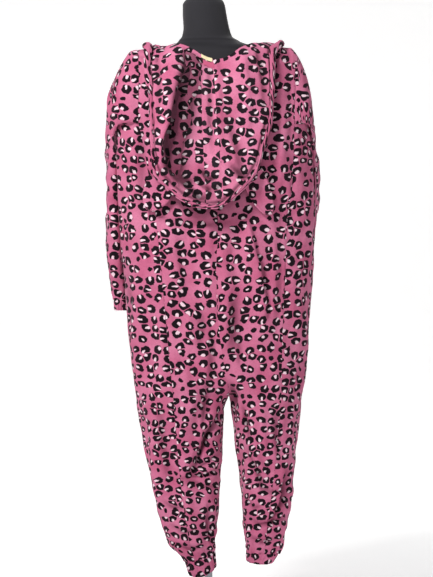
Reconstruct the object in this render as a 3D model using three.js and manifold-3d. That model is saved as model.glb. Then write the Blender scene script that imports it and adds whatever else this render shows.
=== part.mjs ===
// A hooded one-piece fleece pajama with ears and a front zip, hanging on a limbless dress form
// that has a pole and a round base. Millimetres, +Z up. The back of the garment faces -Y, and left
// and right are as seen from behind. The origin is the centre of the base's underside.

import * as THREE from "three";
import Module from "manifold-3d";
import { mergeVertices } from "three/addons/utils/BufferGeometryUtils.js";

const wasm = await Module();
wasm.setup();

// Driving sizes of the cloth
const FLEECE = 2;
const SEAM = 0.3;
const LEFT = -1;
const RIGHT = 1;
const BACK = -1;
const FRONT = 1;

// Levels above the floor
const ARMHOLE_Z = 1330;
const CROTCH_TOP_Z = 720;
const CROTCH_Z = 588;

// The trunk's section is an oval whose sides are a little fuller than an ellipse
const FULLNESS = 0.85;
const SHOULDER_FULLNESS = 0.6;
const SHOULDER_BLEND = 110;
const SHOULDER_ARC = 260;

// How far the two leg tubes stand apart at the crotch
const CROTCH_SPREAD = 0.6;

// Trunk: the centre seam and both outer edges as seen from behind, and the depth behind and in front
const TRUNK = [
  { z: 1330, centre: 23, left: -252, right: 279, back: 118, front: 124 },
  { z: 1264, centre: 23, left: -250, right: 287, back: 120, front: 126 },
  { z: 1154, centre: 23, left: -247, right: 291, back: 118, front: 122 },
  { z: 1044, centre: 26, left: -243, right: 290, back: 114, front: 118 },
  { z: 934, centre: 21, left: -232, right: 287, back: 112, front: 115 },
  { z: 852, centre: 23, left: -227, right: 282, back: 110, front: 112 },
  { z: 769, centre: 29, left: -223, right: 278, back: 106, front: 108 },
  { z: 687, centre: 41, left: -213, right: 268, back: 102, front: 104 },
  { z: 632, centre: 52, left: -204, right: 263, back: 98, front: 101 },
  { z: 588, centre: 56, left: -197, right: 254, back: 97, front: 97 },
];

// Side seams: where they run as seen from behind
const SIDE_SEAMS = [
  { z: 1330, left: -191, right: 234 },
  { z: 1264, left: -177, right: 232 },
  { z: 1154, left: -155, right: 227 },
  { z: 1071, left: -142, right: 214 },
  { z: 945, left: -129, right: 210 },
  { z: 819, left: -117, right: 204 },
  { z: 692, left: -106, right: 200 },
  { z: 588, left: -95, right: 198 },
  { z: 440, left: -84, right: 186 },
  { z: 324, left: -72, right: 172 },
  { z: 192, left: -52, right: 156 },
  { z: 130, left: -30, right: 150 },
];

// Legs: outer and inner edge as seen from behind, half depth, and how far the inner edge is higher
const LEFT_LEG = [
  { z: 588, outer: -197, inner: 55.4, depth: 97, tilt: 0 },
  { z: 555, outer: -194, inner: 43, depth: 94.5, tilt: 0 },
  { z: 489, outer: -183, inner: 40, depth: 89, tilt: 0 },
  { z: 423, outer: -172, inner: 37, depth: 83, tilt: 0 },
  { z: 357, outer: -158, inner: 32, depth: 76, tilt: 0 },
  { z: 291, outer: -142, inner: 29, depth: 69, tilt: 0 },
  { z: 225, outer: -122, inner: 22, depth: 58, tilt: 0 },
  { z: 192, outer: -111, inner: 19, depth: 50, tilt: 2 },
  { z: 165, outer: -96, inner: 18.5, depth: 43, tilt: 4 },
  { z: 141, outer: -68, inner: 19, depth: 35, tilt: 6 },
  { z: 106, outer: -54, inner: 20.5, depth: 32, tilt: 10 },
];
const RIGHT_LEG = [
  { z: 588, outer: 254, inner: 56.6, depth: 97, tilt: 0 },
  { z: 555, outer: 252, inner: 62, depth: 94.5, tilt: 0 },
  { z: 489, outer: 246, inner: 70, depth: 89, tilt: 0 },
  { z: 423, outer: 238, inner: 78, depth: 82, tilt: 0 },
  { z: 357, outer: 232, inner: 87, depth: 74, tilt: 0 },
  { z: 291, outer: 227, inner: 92, depth: 67, tilt: 0 },
  { z: 225, outer: 216, inner: 96, depth: 56, tilt: 0 },
  { z: 192, outer: 208, inner: 100, depth: 48, tilt: 0 },
  { z: 170, outer: 201, inner: 102, depth: 43, tilt: 1 },
  { z: 157, outer: 194, inner: 103, depth: 39, tilt: 1 },
  { z: 131, outer: 176, inner: 106, depth: 33, tilt: 2 },
];
const LEGS = {
  [LEFT]: { rows: LEFT_LEG, cuffTop: 141, cuffBottom: 106, sag: 12 },
  [RIGHT]: { rows: RIGHT_LEG, cuffTop: 157, cuffBottom: 131, sag: 3 },
};

// Height of the shoulder seam along the shoulders, rising to where the neck comes through
const CREST = [
  { x: -240, z: 1524 },
  { x: -200, z: 1538 },
  { x: -160, z: 1542 },
  { x: -120, z: 1542 },
  { x: -80, z: 1565 },
  { x: -30, z: 1592 },
  { x: 23, z: 1600 },
  { x: 75, z: 1592 },
  { x: 110, z: 1568 },
  { x: 148, z: 1549 },
  { x: 180, z: 1548 },
  { x: 222, z: 1544 },
  { x: 260, z: 1530 },
];

// Neckline: across to the neck points, and how far up the shoulder its middle lies, behind and in front
const NECK_POINT = { [LEFT]: 143, [RIGHT]: 125 };
const NECK_RISE = { [BACK]: 0.4, [FRONT]: 0.3 };
const NECK_CURVE = 2.5;

// Armhole edges: distance from the centre seam at each share of the way up to the shoulder seam
const ARMHOLES = {
  [LEFT]: [
    { rise: 0, back: 214, front: 206 },
    { rise: 0.2, back: 212, front: 203 },
    { rise: 0.6, back: 214, front: 208 },
    { rise: 1, back: 223, front: 223 },
  ],
  [RIGHT]: [
    { rise: 0, back: 211, front: 196 },
    { rise: 0.2, back: 213, front: 194 },
    { rise: 0.6, back: 212, front: 196 },
    { rise: 1, back: 199, front: 199 },
  ],
};

// Sleeves: rings from the armhole down, by their outer and inner points as seen from behind, their
// place and half size from back to front, and how far the front of a ring swings inwards
const LEFT_SLEEVE = [
  { outerX: -200, outerZ: 1538, innerX: -252, innerZ: 1330, middleY: 0, halfY: 70, swing: 0 },
  { outerX: -214, outerZ: 1534, innerX: -260, innerZ: 1331, middleY: 1, halfY: 72, swing: 0 },
  { outerX: -232, outerZ: 1511, innerX: -263, innerZ: 1322, middleY: 6, halfY: 76, swing: 0 },
  { outerX: -251, outerZ: 1477, innerX: -263, innerZ: 1306, middleY: 18, halfY: 80, swing: 0.02 },
  { outerX: -266, outerZ: 1440, innerX: -258, innerZ: 1288, middleY: 34, halfY: 84, swing: 0.02 },
  { outerX: -276, outerZ: 1396, innerX: -252, innerZ: 1262, middleY: 50, halfY: 87, swing: 0.02 },
  { outerX: -281, outerZ: 1340, innerX: -246, innerZ: 1228, middleY: 62, halfY: 88, swing: 0.02 },
  { outerX: -283, outerZ: 1270, innerX: -241, innerZ: 1185, middleY: 70, halfY: 87, swing: 0.02 },
  { outerX: -284, outerZ: 1180, innerX: -238, innerZ: 1125, middleY: 76, halfY: 84, swing: 0.02 },
  { outerX: -284, outerZ: 1085, innerX: -236, innerZ: 1055, middleY: 80, halfY: 78, swing: 0.02 },
  { outerX: -282, outerZ: 995, innerX: -232, innerZ: 985, middleY: 82, halfY: 70, swing: 0.02 },
  { outerX: -277, outerZ: 925, innerX: -228, innerZ: 922, middleY: 82, halfY: 58, swing: 0.02 },
  { outerX: -269, outerZ: 876, innerX: -224, innerZ: 876, middleY: 80, halfY: 44, swing: 0.02 },
  { outerX: -264, outerZ: 852, innerX: -227, innerZ: 852, middleY: 79, halfY: 36, swing: 0.02 },
  { outerX: -262, outerZ: 822, innerX: -226, innerZ: 822, middleY: 79, halfY: 34, swing: 0.02 },
];
const RIGHT_SLEEVE = [
  { outerX: 222, outerZ: 1544, innerX: 279, innerZ: 1330, middleY: 0, halfY: 68, swing: 0 },
  { outerX: 232, outerZ: 1533, innerX: 287, innerZ: 1331, middleY: 2, halfY: 70, swing: 0 },
  { outerX: 250, outerZ: 1505, innerX: 291, innerZ: 1322, middleY: 8, halfY: 75, swing: 0 },
  { outerX: 266, outerZ: 1468, innerX: 288, innerZ: 1304, middleY: 20, halfY: 80, swing: -0.02 },
  { outerX: 278, outerZ: 1428, innerX: 284, innerZ: 1284, middleY: 36, halfY: 84, swing: -0.02 },
  { outerX: 287, outerZ: 1380, innerX: 279, innerZ: 1256, middleY: 52, halfY: 87, swing: -0.02 },
  { outerX: 292, outerZ: 1320, innerX: 274, innerZ: 1220, middleY: 64, halfY: 88, swing: -0.02 },
  { outerX: 300, outerZ: 1250, innerX: 269, innerZ: 1176, middleY: 72, halfY: 87, swing: -0.02 },
  { outerX: 305, outerZ: 1170, innerX: 264, innerZ: 1120, middleY: 78, halfY: 84, swing: -0.02 },
  { outerX: 301, outerZ: 1085, innerX: 258, innerZ: 1060, middleY: 84, halfY: 78, swing: -0.02 },
  { outerX: 292, outerZ: 1000, innerX: 249, innerZ: 992, middleY: 90, halfY: 68, swing: -0.02 },
  { outerX: 281, outerZ: 930, innerX: 240, innerZ: 930, middleY: 98, halfY: 56, swing: -0.08 },
  { outerX: 271, outerZ: 880, innerX: 232, innerZ: 880, middleY: 104, halfY: 42, swing: -0.16 },
  { outerX: 266, outerZ: 852, innerX: 230, innerZ: 852, middleY: 106, halfY: 36, swing: -0.16 },
  { outerX: 265, outerZ: 822, innerX: 229, innerZ: 822, middleY: 108, halfY: 34, swing: -0.1 },
];
const SLEEVES = { [LEFT]: LEFT_SLEEVE, [RIGHT]: RIGHT_SLEEVE };
const SLEEVE_CLEAR = 3;

// A sleeve's section is an oval with full corners
const SLEEVE_FULLNESS = 0.72;
const ARMHOLE_SEAM = 0.42;

// How much of the armhole's own shape the first rings of a sleeve keep
const ARMHOLE_FADE = [1, 0.85, 0.55, 0.25, 0.08];

// Large soft folds of the trunk and legs: a line from top to bottom, its half width and its height
const FOLDS = [
  { face: BACK, topX: 100, topZ: 1090, endX: 158, endZ: 740, width: 24, height: 10 },
  { face: BACK, topX: 60, topZ: 1120, endX: 95, endZ: 640, width: 26, height: -8 },
  { face: BACK, topX: 23, topZ: 1180, endX: 30, endZ: 740, width: 18, height: -6 },
  { face: BACK, topX: -48, topZ: 1120, endX: -30, endZ: 560, width: 30, height: -8 },
  { face: BACK, topX: 14, topZ: 800, endX: -60, endZ: 330, width: 20, height: -9 },
  { face: BACK, topX: -150, topZ: 1290, endX: -125, endZ: 480, width: 22, height: 7 },
  { face: BACK, topX: -205, topZ: 1240, endX: -160, endZ: 620, width: 22, height: -6 },
  { face: BACK, topX: 236, topZ: 1300, endX: 214, endZ: 760, width: 20, height: -9 },
  { face: BACK, topX: 150, topZ: 560, endX: 170, endZ: 220, width: 26, height: -8 },
  { face: BACK, topX: -120, topZ: 520, endX: -70, endZ: 190, width: 24, height: -7 },
  { face: FRONT, topX: -90, topZ: 1280, endX: -70, endZ: 620, width: 30, height: -8 },
  { face: FRONT, topX: 140, topZ: 1260, endX: 120, endZ: 600, width: 30, height: -8 },
  { face: FRONT, topX: -130, topZ: 1200, endX: -125, endZ: 520, width: 26, height: 7 },
  { face: FRONT, topX: 172, topZ: 1220, endX: 165, endZ: 540, width: 26, height: 7 },
  { face: FRONT, topX: -70, topZ: 540, endX: -60, endZ: 210, width: 24, height: -7 },
  { face: FRONT, topX: 160, topZ: 540, endX: 155, endZ: 210, width: 24, height: -7 },
];

// Gathers of the elastic hems
const LEG_GATHERS = 5;
const LEG_GATHER_HEIGHT = 3;
const LEG_GATHER_FADE = 90;
const CUFF_GATHERS = 9;
const CUFF_GATHER_HEIGHT = 1.8;
const CUFF_POINTS = 36;

// Rows of the panels
const UPPER_RISES = [1, 0.8, 0.6, 0.4, 0.2, 0];
const TRUNK_LEVELS = [
  1330, 1285, 1240, 1190, 1140, 1090, 1040, 990, 940, 890, 840, 790, 745, 705, 670, 640, 617, 601, 592, 588,
];
const LEG_ROWS = 12;
const BACK_COLUMNS = 8;
const CHEST_COLUMNS = 6;
const WRAP_COLUMNS = 8;

// Zip down the centre front
const ZIP_END_Z = 700;
const ZIP_SLOT = 7;
const ZIP_CHAIN = { width: 5.6, out: 0.2, thick: 2.4 };
const ZIP_TAPE = { width: 24, in: 2.8, thick: 0.9 };

// Hood: the cloth from the neckline out to the rim of the face opening. Turn runs from the zip on the
// left (-1) over the left shoulder (-0.5), the back and the right shoulder (0.5) to the zip on the
// right (1). Along is the height up the back, then over the shoulder and down the front.
const RIM = [
  { turn: -1, x: 14, along: 1803, lift: 7 },
  { turn: -0.8, x: -85, along: 1765, lift: 8 },
  { turn: -0.65, x: -145, along: 1680, lift: 9 },
  { turn: -0.5, x: -181, along: 1588, lift: 8 },
  { turn: -0.455, x: -173, along: 1500, lift: 9 },
  { turn: -0.41, x: -171, along: 1410, lift: 8 },
  { turn: -0.37, x: -154, along: 1347, lift: 9 },
  { turn: -0.33, x: -144, along: 1264, lift: 14 },
  { turn: -0.29, x: -137, along: 1185, lift: 24 },
  { turn: -0.245, x: -106, along: 1151, lift: 36 },
  { turn: -0.2, x: -62, along: 1120, lift: 46 },
  { turn: -0.157, x: -5, along: 1100, lift: 52 },
  { turn: -0.1, x: 20, along: 1102, lift: 53 },
  { turn: -0.038, x: 44, along: 1112, lift: 52 },
  { turn: 0.03, x: 72, along: 1133, lift: 49 },
  { turn: 0.09, x: 100, along: 1159, lift: 44 },
  { turn: 0.15, x: 124, along: 1190, lift: 36 },
  { turn: 0.22, x: 146, along: 1257, lift: 26 },
  { turn: 0.29, x: 169, along: 1333, lift: 18 },
  { turn: 0.36, x: 176, along: 1390, lift: 15 },
  { turn: 0.43, x: 179, along: 1460, lift: 12 },
  { turn: 0.5, x: 206, along: 1545, lift: 8 },
  { turn: 0.58, x: 202, along: 1620, lift: 10 },
  { turn: 0.65, x: 180, along: 1680, lift: 9 },
  { turn: 0.8, x: 118, along: 1765, lift: 8 },
  { turn: 1, x: 32, along: 1803, lift: 7 },
];
const HOOD_TURNS = [
  -1, -0.91, -0.82, -0.74, -0.66, -0.59, -0.53, -0.49, -0.455, -0.42, -0.39, -0.36, -0.33, -0.3,
  -0.27, -0.24, -0.21, -0.185, -0.157, -0.12, -0.08, -0.038, 0.01, 0.055, 0.1, 0.145, 0.19, 0.24,
  0.29, 0.34, 0.39, 0.44, 0.49, 0.53, 0.59, 0.66, 0.74, 0.82, 0.91, 1,
];
const HOOD_SEAMS = { left: -0.157, right: -0.038 };
const HOOD_ROWS = 9;
const HOOD_ROW_SPREAD = 1.35;
const HOOD_SEAT = 4;
const HOOD_FLOAT = 8;
const HOOD_SEWN = { lift: 2.6, reach: 0.12 };
const HEM_WIDTH = 25;
const POUCH_TURN = 0.34;
const POUCH_MIDDLE = -0.08;

// The big pleat in the hood's left side: a ridge with a steep right flank
const PLEAT = [
  { along: 1480, x: -30, height: 3 },
  { along: 1436, x: -40, height: 10 },
  { along: 1400, x: -56, height: 22 },
  { along: 1353, x: -80, height: 34 },
  { along: 1264, x: -118, height: 30 },
  { along: 1200, x: -128, height: 10 },
  { along: 1150, x: -130, height: 0 },
];
const PLEAT_STEEP = 15;
const PLEAT_GENTLE = 58;

// Ears: from the middle of the root to the tip, with their width and how far each end lies off the back
const EARS = {
  [LEFT]: { rootX: -124, rootZ: 1172, tipX: -160, tipZ: 1095, width: 82, rootLift: 24.6, tipLift: 8 },
  [RIGHT]: { rootX: 117, rootZ: 1190, tipX: 166, tipZ: 1082, width: 66, rootLift: 22.2, tipLift: 8 },
};
const EAR_THICK = 4.5;
const EAR_STEPS = 7;

// Plain neck label and, below it, the hanger loop, both on the middle of the hood's lining
const LABEL = { fromTurn: -0.15, toTurn: -0.045, above: 1, below: 10, out: SEAM, thick: 0.8 };
const LOOP = { fromTurn: -0.135, toTurn: -0.03, above: -13, below: 28, out: SEAM, thick: 1.2 };

// Zip slider and its hinged pull
const SLIDER = { width: 9, length: 14, thick: 2.6, below: 12 };
const BRIDGE = { width: 2.2, length: 9, height: 4.4, bar: 1.3 };
const PULL = { width: 8, length: 30, thick: 1.5, rim: 1.8, corner: 2.2, clear: 3.2 };
const PULL_EYE = { width: 3.6, length: 4.6 };
const PULL_CORNERS = [
  [0, 1, 1],
  [Math.PI / 2, -1, 1],
  [Math.PI, -1, -1],
  [1.5 * Math.PI, 1, -1],
];

// Dress form: sections of the covered torso, shoulders and neck
const TORSO = [
  { z: 870, left: -148, right: 148, depth: 88 },
  { z: 876, left: -158, right: 158, depth: 94 },
  { z: 930, left: -170, right: 172, depth: 99 },
  { z: 1010, left: -165, right: 168, depth: 96 },
  { z: 1110, left: -136, right: 138, depth: 84 },
  { z: 1210, left: -148, right: 150, depth: 94 },
  { z: 1310, left: -170, right: 172, depth: 103 },
  { z: 1390, left: -186, right: 188, depth: 100 },
  { z: 1440, left: -196, right: 198, depth: 94 },
  { z: 1480, left: -198, right: 204, depth: 84 },
  { z: 1506, left: -192, right: 202, depth: 73 },
  { z: 1520, left: -180, right: 194, depth: 65 },
  { z: 1530, left: -162, right: 192, depth: 60 },
  { z: 1536, left: -140, right: 180, depth: 57 },
  { z: 1542, left: -114, right: 172, depth: 56 },
  { z: 1547, left: -103, right: 149, depth: 56 },
  { z: 1554, left: -92, right: 107, depth: 56 },
  { z: 1565, left: -81, right: 81, depth: 56 },
  { z: 1576, left: -73, right: 65, depth: 55 },
  { z: 1600, left: -69, right: 57, depth: 54 },
  { z: 1640, left: -71, right: 49, depth: 53 },
  { z: 1662, left: -71, right: 45, depth: 52 },
  { z: 1677, left: -61, right: 37, depth: 44 },
  { z: 1685, left: -44, right: 21, depth: 30 },
];
const TORSO_POINTS = 24;

// Stand
const POLE_RADIUS = 11;
const SOCKET_FLOOR = 6;
const BASE = { radius: 170, rim: 6, crown: 12, hub: 20, hubTop: 46 };
const STAND_SEGMENTS = 36;

// Colours
const PINK = "#d1608f";
const PALE_PINK = "#d98aac";
const CREAM = "#e6dcae";
const BLACK_JERSEY = "#34343a";
const METAL = "#b9bbc0";
const STAND_GREY = "#8d9095";

// The value of one column of a table, by a smooth curve through its rows that adds no bumps
function column(rows, name, key, at) {
  const rising = rows[rows.length - 1][key] > rows[0][key];
  const sorted = rising ? rows : rows.slice().reverse();
  const last = sorted.length - 1;
  if (at <= sorted[0][key]) return sorted[0][name];
  if (at >= sorted[last][key]) return sorted[last][name];
  let k = 0;
  while (at > sorted[k + 1][key]) k += 1;
  const slope = (i) => (sorted[i + 1][name] - sorted[i][name]) / (sorted[i + 1][key] - sorted[i][key]);
  const tangent = (i) => {
    if (i === 0) return slope(0);
    if (i === last) return slope(last - 1);
    const before = slope(i - 1);
    const after = slope(i);
    return before * after <= 0 ? 0 : (2 * before * after) / (before + after);
  };
  const span = sorted[k + 1][key] - sorted[k][key];
  const t = (at - sorted[k][key]) / span;
  const start = (1 + 2 * t) * (1 - t) ** 2 * sorted[k][name] + t * (1 - t) ** 2 * span * tangent(k);
  const end = t * t * (3 - 2 * t) * sorted[k + 1][name] + t * t * (t - 1) * span * tangent(k + 1);
  return start + end;
}

const clamp = THREE.MathUtils.clamp;
const lerp = THREE.MathUtils.lerp;
const smooth = (t) => THREE.MathUtils.smoothstep(t, 0, 1);

// Outer and inner reach of one side's tube from the centre seam; inner is negative above the crotch
function tube(side, z) {
  const crotch = TRUNK[TRUNK.length - 1];
  if (z < CROTCH_Z) {
    const rows = LEGS[side].rows;
    const depth = column(rows, "depth", "z", z);
    return {
      centre: crotch.centre,
      outer: side * (column(rows, "outer", "z", z) - crotch.centre),
      inner: side * (column(rows, "inner", "z", z) - crotch.centre),
      back: depth,
      front: depth,
      tilt: column(rows, "tilt", "z", z),
    };
  }
  const centre = column(TRUNK, "centre", "z", z);
  const outer = side * (column(TRUNK, side === LEFT ? "left" : "right", "z", z) - centre);
  const closed = clamp((CROTCH_TOP_Z - z) / (CROTCH_TOP_Z - CROTCH_Z), 0, 1);
  return {
    centre,
    outer,
    inner: lerp(-outer, CROTCH_SPREAD, closed),
    back: column(TRUNK, "back", "z", z),
    front: column(TRUNK, "front", "z", z),
    tilt: 0,
  };
}

// How far the large folds stand out from the back or the front at a place
function foldHeight(face, x, z) {
  let height = 0;
  for (const fold of FOLDS) {
    const t = (fold.topZ - z) / (fold.topZ - fold.endZ);
    if (fold.face !== face || t <= 0 || t >= 1) continue;
    const away = (x - lerp(fold.topX, fold.endX, t)) / fold.width;
    height += fold.height * Math.sin(Math.PI * t) ** 0.7 * Math.exp(-away * away);
  }
  return height;
}

// A point of the trunk or a leg. The angle is 0 at the inner edge, a quarter turn behind, half a turn
// at the outer edge and three quarters in front.
function tubePoint(side, z, angle) {
  const t = tube(side, z);
  const middle = (t.outer + t.inner) / 2;
  const reach = (t.outer - t.inner) / 2;
  const x = t.centre + side * (middle - reach * Math.cos(angle));
  const sine = Math.sin(angle);
  const face = sine > 0 ? BACK : FRONT;
  const swell = Math.abs(sine) ** FULLNESS;
  const depth = face === BACK ? t.back : t.front;
  const bottom = LEGS[side].cuffTop;
  const gather = z < CROTCH_Z ? clamp(1 - (z - bottom) / LEG_GATHER_FADE, 0, 1) : 0;
  const wave = LEG_GATHER_HEIGHT * gather * Math.cos(LEG_GATHERS * angle * 2);
  const out = depth + foldHeight(face, x, z) + wave;
  return new THREE.Vector3(x, face * out * swell, z + t.tilt * Math.cos(angle));
}

// The angles at which a panel starts behind, ends in front, and meets the side seam
function edgeAngle(side, z, gap) {
  const t = tube(side, z);
  const middle = (t.outer + t.inner) / 2;
  const reach = (t.outer - t.inner) / 2;
  const least = Math.asin((SEAM / 2 / t.back) ** (1 / FULLNESS));
  return Math.acos(Math.min((middle - gap) / reach, Math.cos(least)));
}

function seamAngle(side, z) {
  const t = tube(side, z);
  const middle = (t.outer + t.inner) / 2;
  const reach = (t.outer - t.inner) / 2;
  const across = side * (column(SIDE_SEAMS, side === LEFT ? "left" : "right", "z", z) - t.centre);
  return Math.acos(clamp((middle - across) / reach, -0.98, 0.98));
}

// A point between the armholes' level (rise 0) and the shoulder seam (rise 1)
function shoulderPoint(side, face, across, rise) {
  const t = tube(side, ARMHOLE_Z);
  const x = t.centre + side * across;
  const swell = (1 - Math.min(1, across / t.outer) ** 2) ** (FULLNESS / 2);
  const depth = (face === BACK ? t.back : t.front) * swell;
  const full = lerp(FULLNESS, SHOULDER_FULLNESS, smooth(across / SHOULDER_BLEND));
  const turn = (clamp(rise, 0, 1) * Math.PI) / 2;
  const climb = (column(CREST, "z", "x", x) - ARMHOLE_Z) * Math.sin(turn) ** full;
  return new THREE.Vector3(x, face * depth * Math.cos(turn) ** full, ARMHOLE_Z + climb);
}

// How far up the shoulder the neckline lies, at a distance from the centre seam
function neckRise(side, face, across) {
  const share = clamp(across / NECK_POINT[side], 0, 1);
  return lerp(NECK_RISE[face], 1, share ** NECK_CURVE);
}

function geometryOf(points, triangles) {
  const geometry = new THREE.BufferGeometry();
  const numbers = points.flatMap((p) => p.toArray());
  geometry.setAttribute("position", new THREE.Float32BufferAttribute(numbers, 3));
  geometry.setIndex(triangles.flat());
  const used = mergeVertices(geometry, 1e-4);
  used.computeVertexNormals();
  return used;
}

// Cells between neighbouring rows of points, each by its four corners' numbers; null marks a place
// with no cloth
function cellsOf(rows, { flip = false, closed = false }) {
  let count = 0;
  const numbers = rows.map((row) => row.map((p) => (p ? count++ : null)));
  const cells = [];
  for (let r = 0; r + 1 < rows.length; r += 1) {
    const columns = rows[r].length - (closed ? 0 : 1);
    for (let c = 0; c < columns; c += 1) {
      const next = (c + 1) % rows[r].length;
      const corners = [numbers[r][c], numbers[r + 1][c], numbers[r + 1][next], numbers[r][next]];
      if (corners.includes(null)) continue;
      cells.push(flip ? [corners[0], corners[3], corners[2], corners[1]] : corners);
    }
  }
  return cells;
}

// The same rows of points moved along the cloth's outward direction. Rows in `level` stay at their height.
function offset(rows, distance, options) {
  const points = rows.flat().filter((p) => p);
  const normals = points.map(() => new THREE.Vector3());
  for (const [a, b, c, d] of cellsOf(rows, options)) {
    const normal = points[c].clone().sub(points[a]).cross(points[d].clone().sub(points[b]));
    for (const corner of [a, b, c, d]) normals[corner].add(normal);
  }
  let count = 0;
  return rows.map((row, r) =>
    row.map((p) => {
      if (!p) return null;
      const normal = normals[count++];
      if (options.level?.includes(r)) normal.z = 0;
      return p.clone().addScaledVector(normal.normalize(), distance);
    }),
  );
}

// A closed wall between the rows of points on its outside and on its inside
function shell(outer, inner, options) {
  const points = [...outer.flat(), ...inner.flat()].filter((p) => p);
  const shift = points.length / 2;
  const triangles = [];
  const edges = new Map();
  for (const [a, b, c, d] of cellsOf(outer, options)) {
    for (const [i, j, k] of [[a, b, c], [a, c, d]]) {
      triangles.push([i, j, k], [i + shift, k + shift, j + shift]);
      for (const [from, to] of [[i, j], [j, k], [k, i]]) edges.set(`${from},${to}`, [from, to]);
    }
  }
  for (const [from, to] of edges.values()) {
    if (edges.has(`${to},${from}`)) continue;
    triangles.push([to, from, from + shift], [to, from + shift, to + shift]);
  }
  return geometryOf(points, triangles);
}

// A wall of cloth from the rows of points on its outside
function cloth(rows, options = {}) {
  return shell(rows, offset(rows, -(options.thickness ?? FLEECE), options), options);
}

// Levels of the rows of one side, from the armhole down to the leg's hem
function levels(side) {
  const bottom = LEGS[side].cuffTop + SEAM;
  const legs = [];
  for (let k = 1; k <= LEG_ROWS; k += 1) {
    const t = k / LEG_ROWS;
    legs.push(lerp(CROTCH_Z, bottom, lerp(t, 1 - (1 - t) ** 1.6, 0.6)));
  }
  return [...TRUNK_LEVELS, ...legs];
}

// Rows of the back panel of one side: columns run from the centre seam or inseam to the side seam
function backRows(side) {
  const edge = (rise) => column(ARMHOLES[side], "back", "rise", rise);
  const rows = [];
  const start = edgeAngle(side, ARMHOLE_Z, SEAM / 2);
  const end = seamAngle(side, ARMHOLE_Z);
  const shares = [];
  for (let c = 0; c <= BACK_COLUMNS; c += 1) {
    const angle = lerp(start, end, c / BACK_COLUMNS);
    shares.push(-Math.cos(angle) / -Math.cos(end));
  }
  for (const rise of UPPER_RISES.slice(0, -1)) {
    rows.push(
      shares.map((share) => {
        const across = Math.max(SEAM / 2, share * edge(rise));
        const top = Math.min(neckRise(side, BACK, share * edge(1)), 1 - SEAM / 2 / SHOULDER_ARC);
        return shoulderPoint(side, BACK, across, rise * top);
      }),
    );
  }
  for (const z of levels(side)) {
    const from = edgeAngle(side, z, SEAM / 2);
    const to = seamAngle(side, z) - SEAM / 2 / tube(side, z).back;
    const row = [];
    for (let c = 0; c <= BACK_COLUMNS; c += 1) {
      row.push(tubePoint(side, z, lerp(from, to, c / BACK_COLUMNS)));
    }
    rows.push(row);
  }
  return rows;
}

// Rows of the front panel of one side: columns run from the zip to the armhole and on to the side seam
function frontRows(side) {
  const edge = (rise) => column(ARMHOLES[side], "front", "rise", rise);
  const open = (z) => (z > ZIP_END_Z ? ZIP_SLOT / 2 : SEAM / 2);
  const t = tube(side, ARMHOLE_Z);
  const frontEnd = 2 * Math.PI - Math.acos(-edge(0) / t.outer);
  const zipEdge = 2 * Math.PI - edgeAngle(side, ARMHOLE_Z, open(ARMHOLE_Z));
  const seamEnd = seamAngle(side, ARMHOLE_Z);
  const chest = (zipEdge - frontEnd) / (zipEdge - seamEnd);
  const shares = [];
  for (let c = 0; c <= CHEST_COLUMNS; c += 1) shares.push((chest * c) / CHEST_COLUMNS);
  for (let c = 1; c <= WRAP_COLUMNS; c += 1) shares.push(lerp(chest, 1, c / WRAP_COLUMNS));
  const blanks = new Array(WRAP_COLUMNS).fill(null);
  const rows = [];
  for (const rise of UPPER_RISES.slice(0, -1)) {
    const row = [];
    for (let c = 0; c <= CHEST_COLUMNS; c += 1) {
      const angle = lerp(zipEdge, frontEnd, c / CHEST_COLUMNS);
      const share = Math.cos(angle) / Math.cos(frontEnd);
      const across = Math.max(ZIP_SLOT / 2, share * edge(rise));
      const top = Math.min(neckRise(side, FRONT, share * edge(1)), 1 - SEAM / 2 / SHOULDER_ARC);
      row.push(shoulderPoint(side, FRONT, across, rise * top));
    }
    rows.push([...row, ...blanks]);
  }
  for (const z of levels(side)) {
    const from = 2 * Math.PI - edgeAngle(side, z, open(z));
    const to = seamAngle(side, z) + SEAM / 2 / tube(side, z).back;
    rows.push(shares.map((share) => tubePoint(side, z, lerp(from, to, share))));
  }
  return rows;
}

// Keeps the inside of a panel on its own side of the centre seam
function ownSide(side, rows) {
  for (const point of rows.flat()) {
    if (!point) continue;
    const centre = column(TRUNK, "centre", "z", point.z);
    const across = side * (point.x - centre);
    if (point.z > CROTCH_Z && across < SEAM / 2) point.x = centre + (side * SEAM) / 2;
  }
  return rows;
}

// Gives both panels the same direction through the cloth along the side seam and the inseam
function alignSeams({ back, backInner, front, frontInner }) {
  const align = (r, backColumn, frontColumn) => {
    const ends = [back[r][backColumn], front[r][frontColumn]];
    const innerEnds = [backInner[r][backColumn], frontInner[r][frontColumn]];
    const through = innerEnds[0].clone().sub(ends[0]).add(innerEnds[1]).sub(ends[1]).setLength(FLEECE);
    innerEnds.forEach((point, i) => point.copy(ends[i]).add(through));
  };
  for (let r = UPPER_RISES.length - 1; r < back.length; r += 1) {
    align(r, BACK_COLUMNS, CHEST_COLUMNS + WRAP_COLUMNS);
    if (back[r][0].z < CROTCH_Z + 1) align(r, 0, 0);
  }
}

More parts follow.
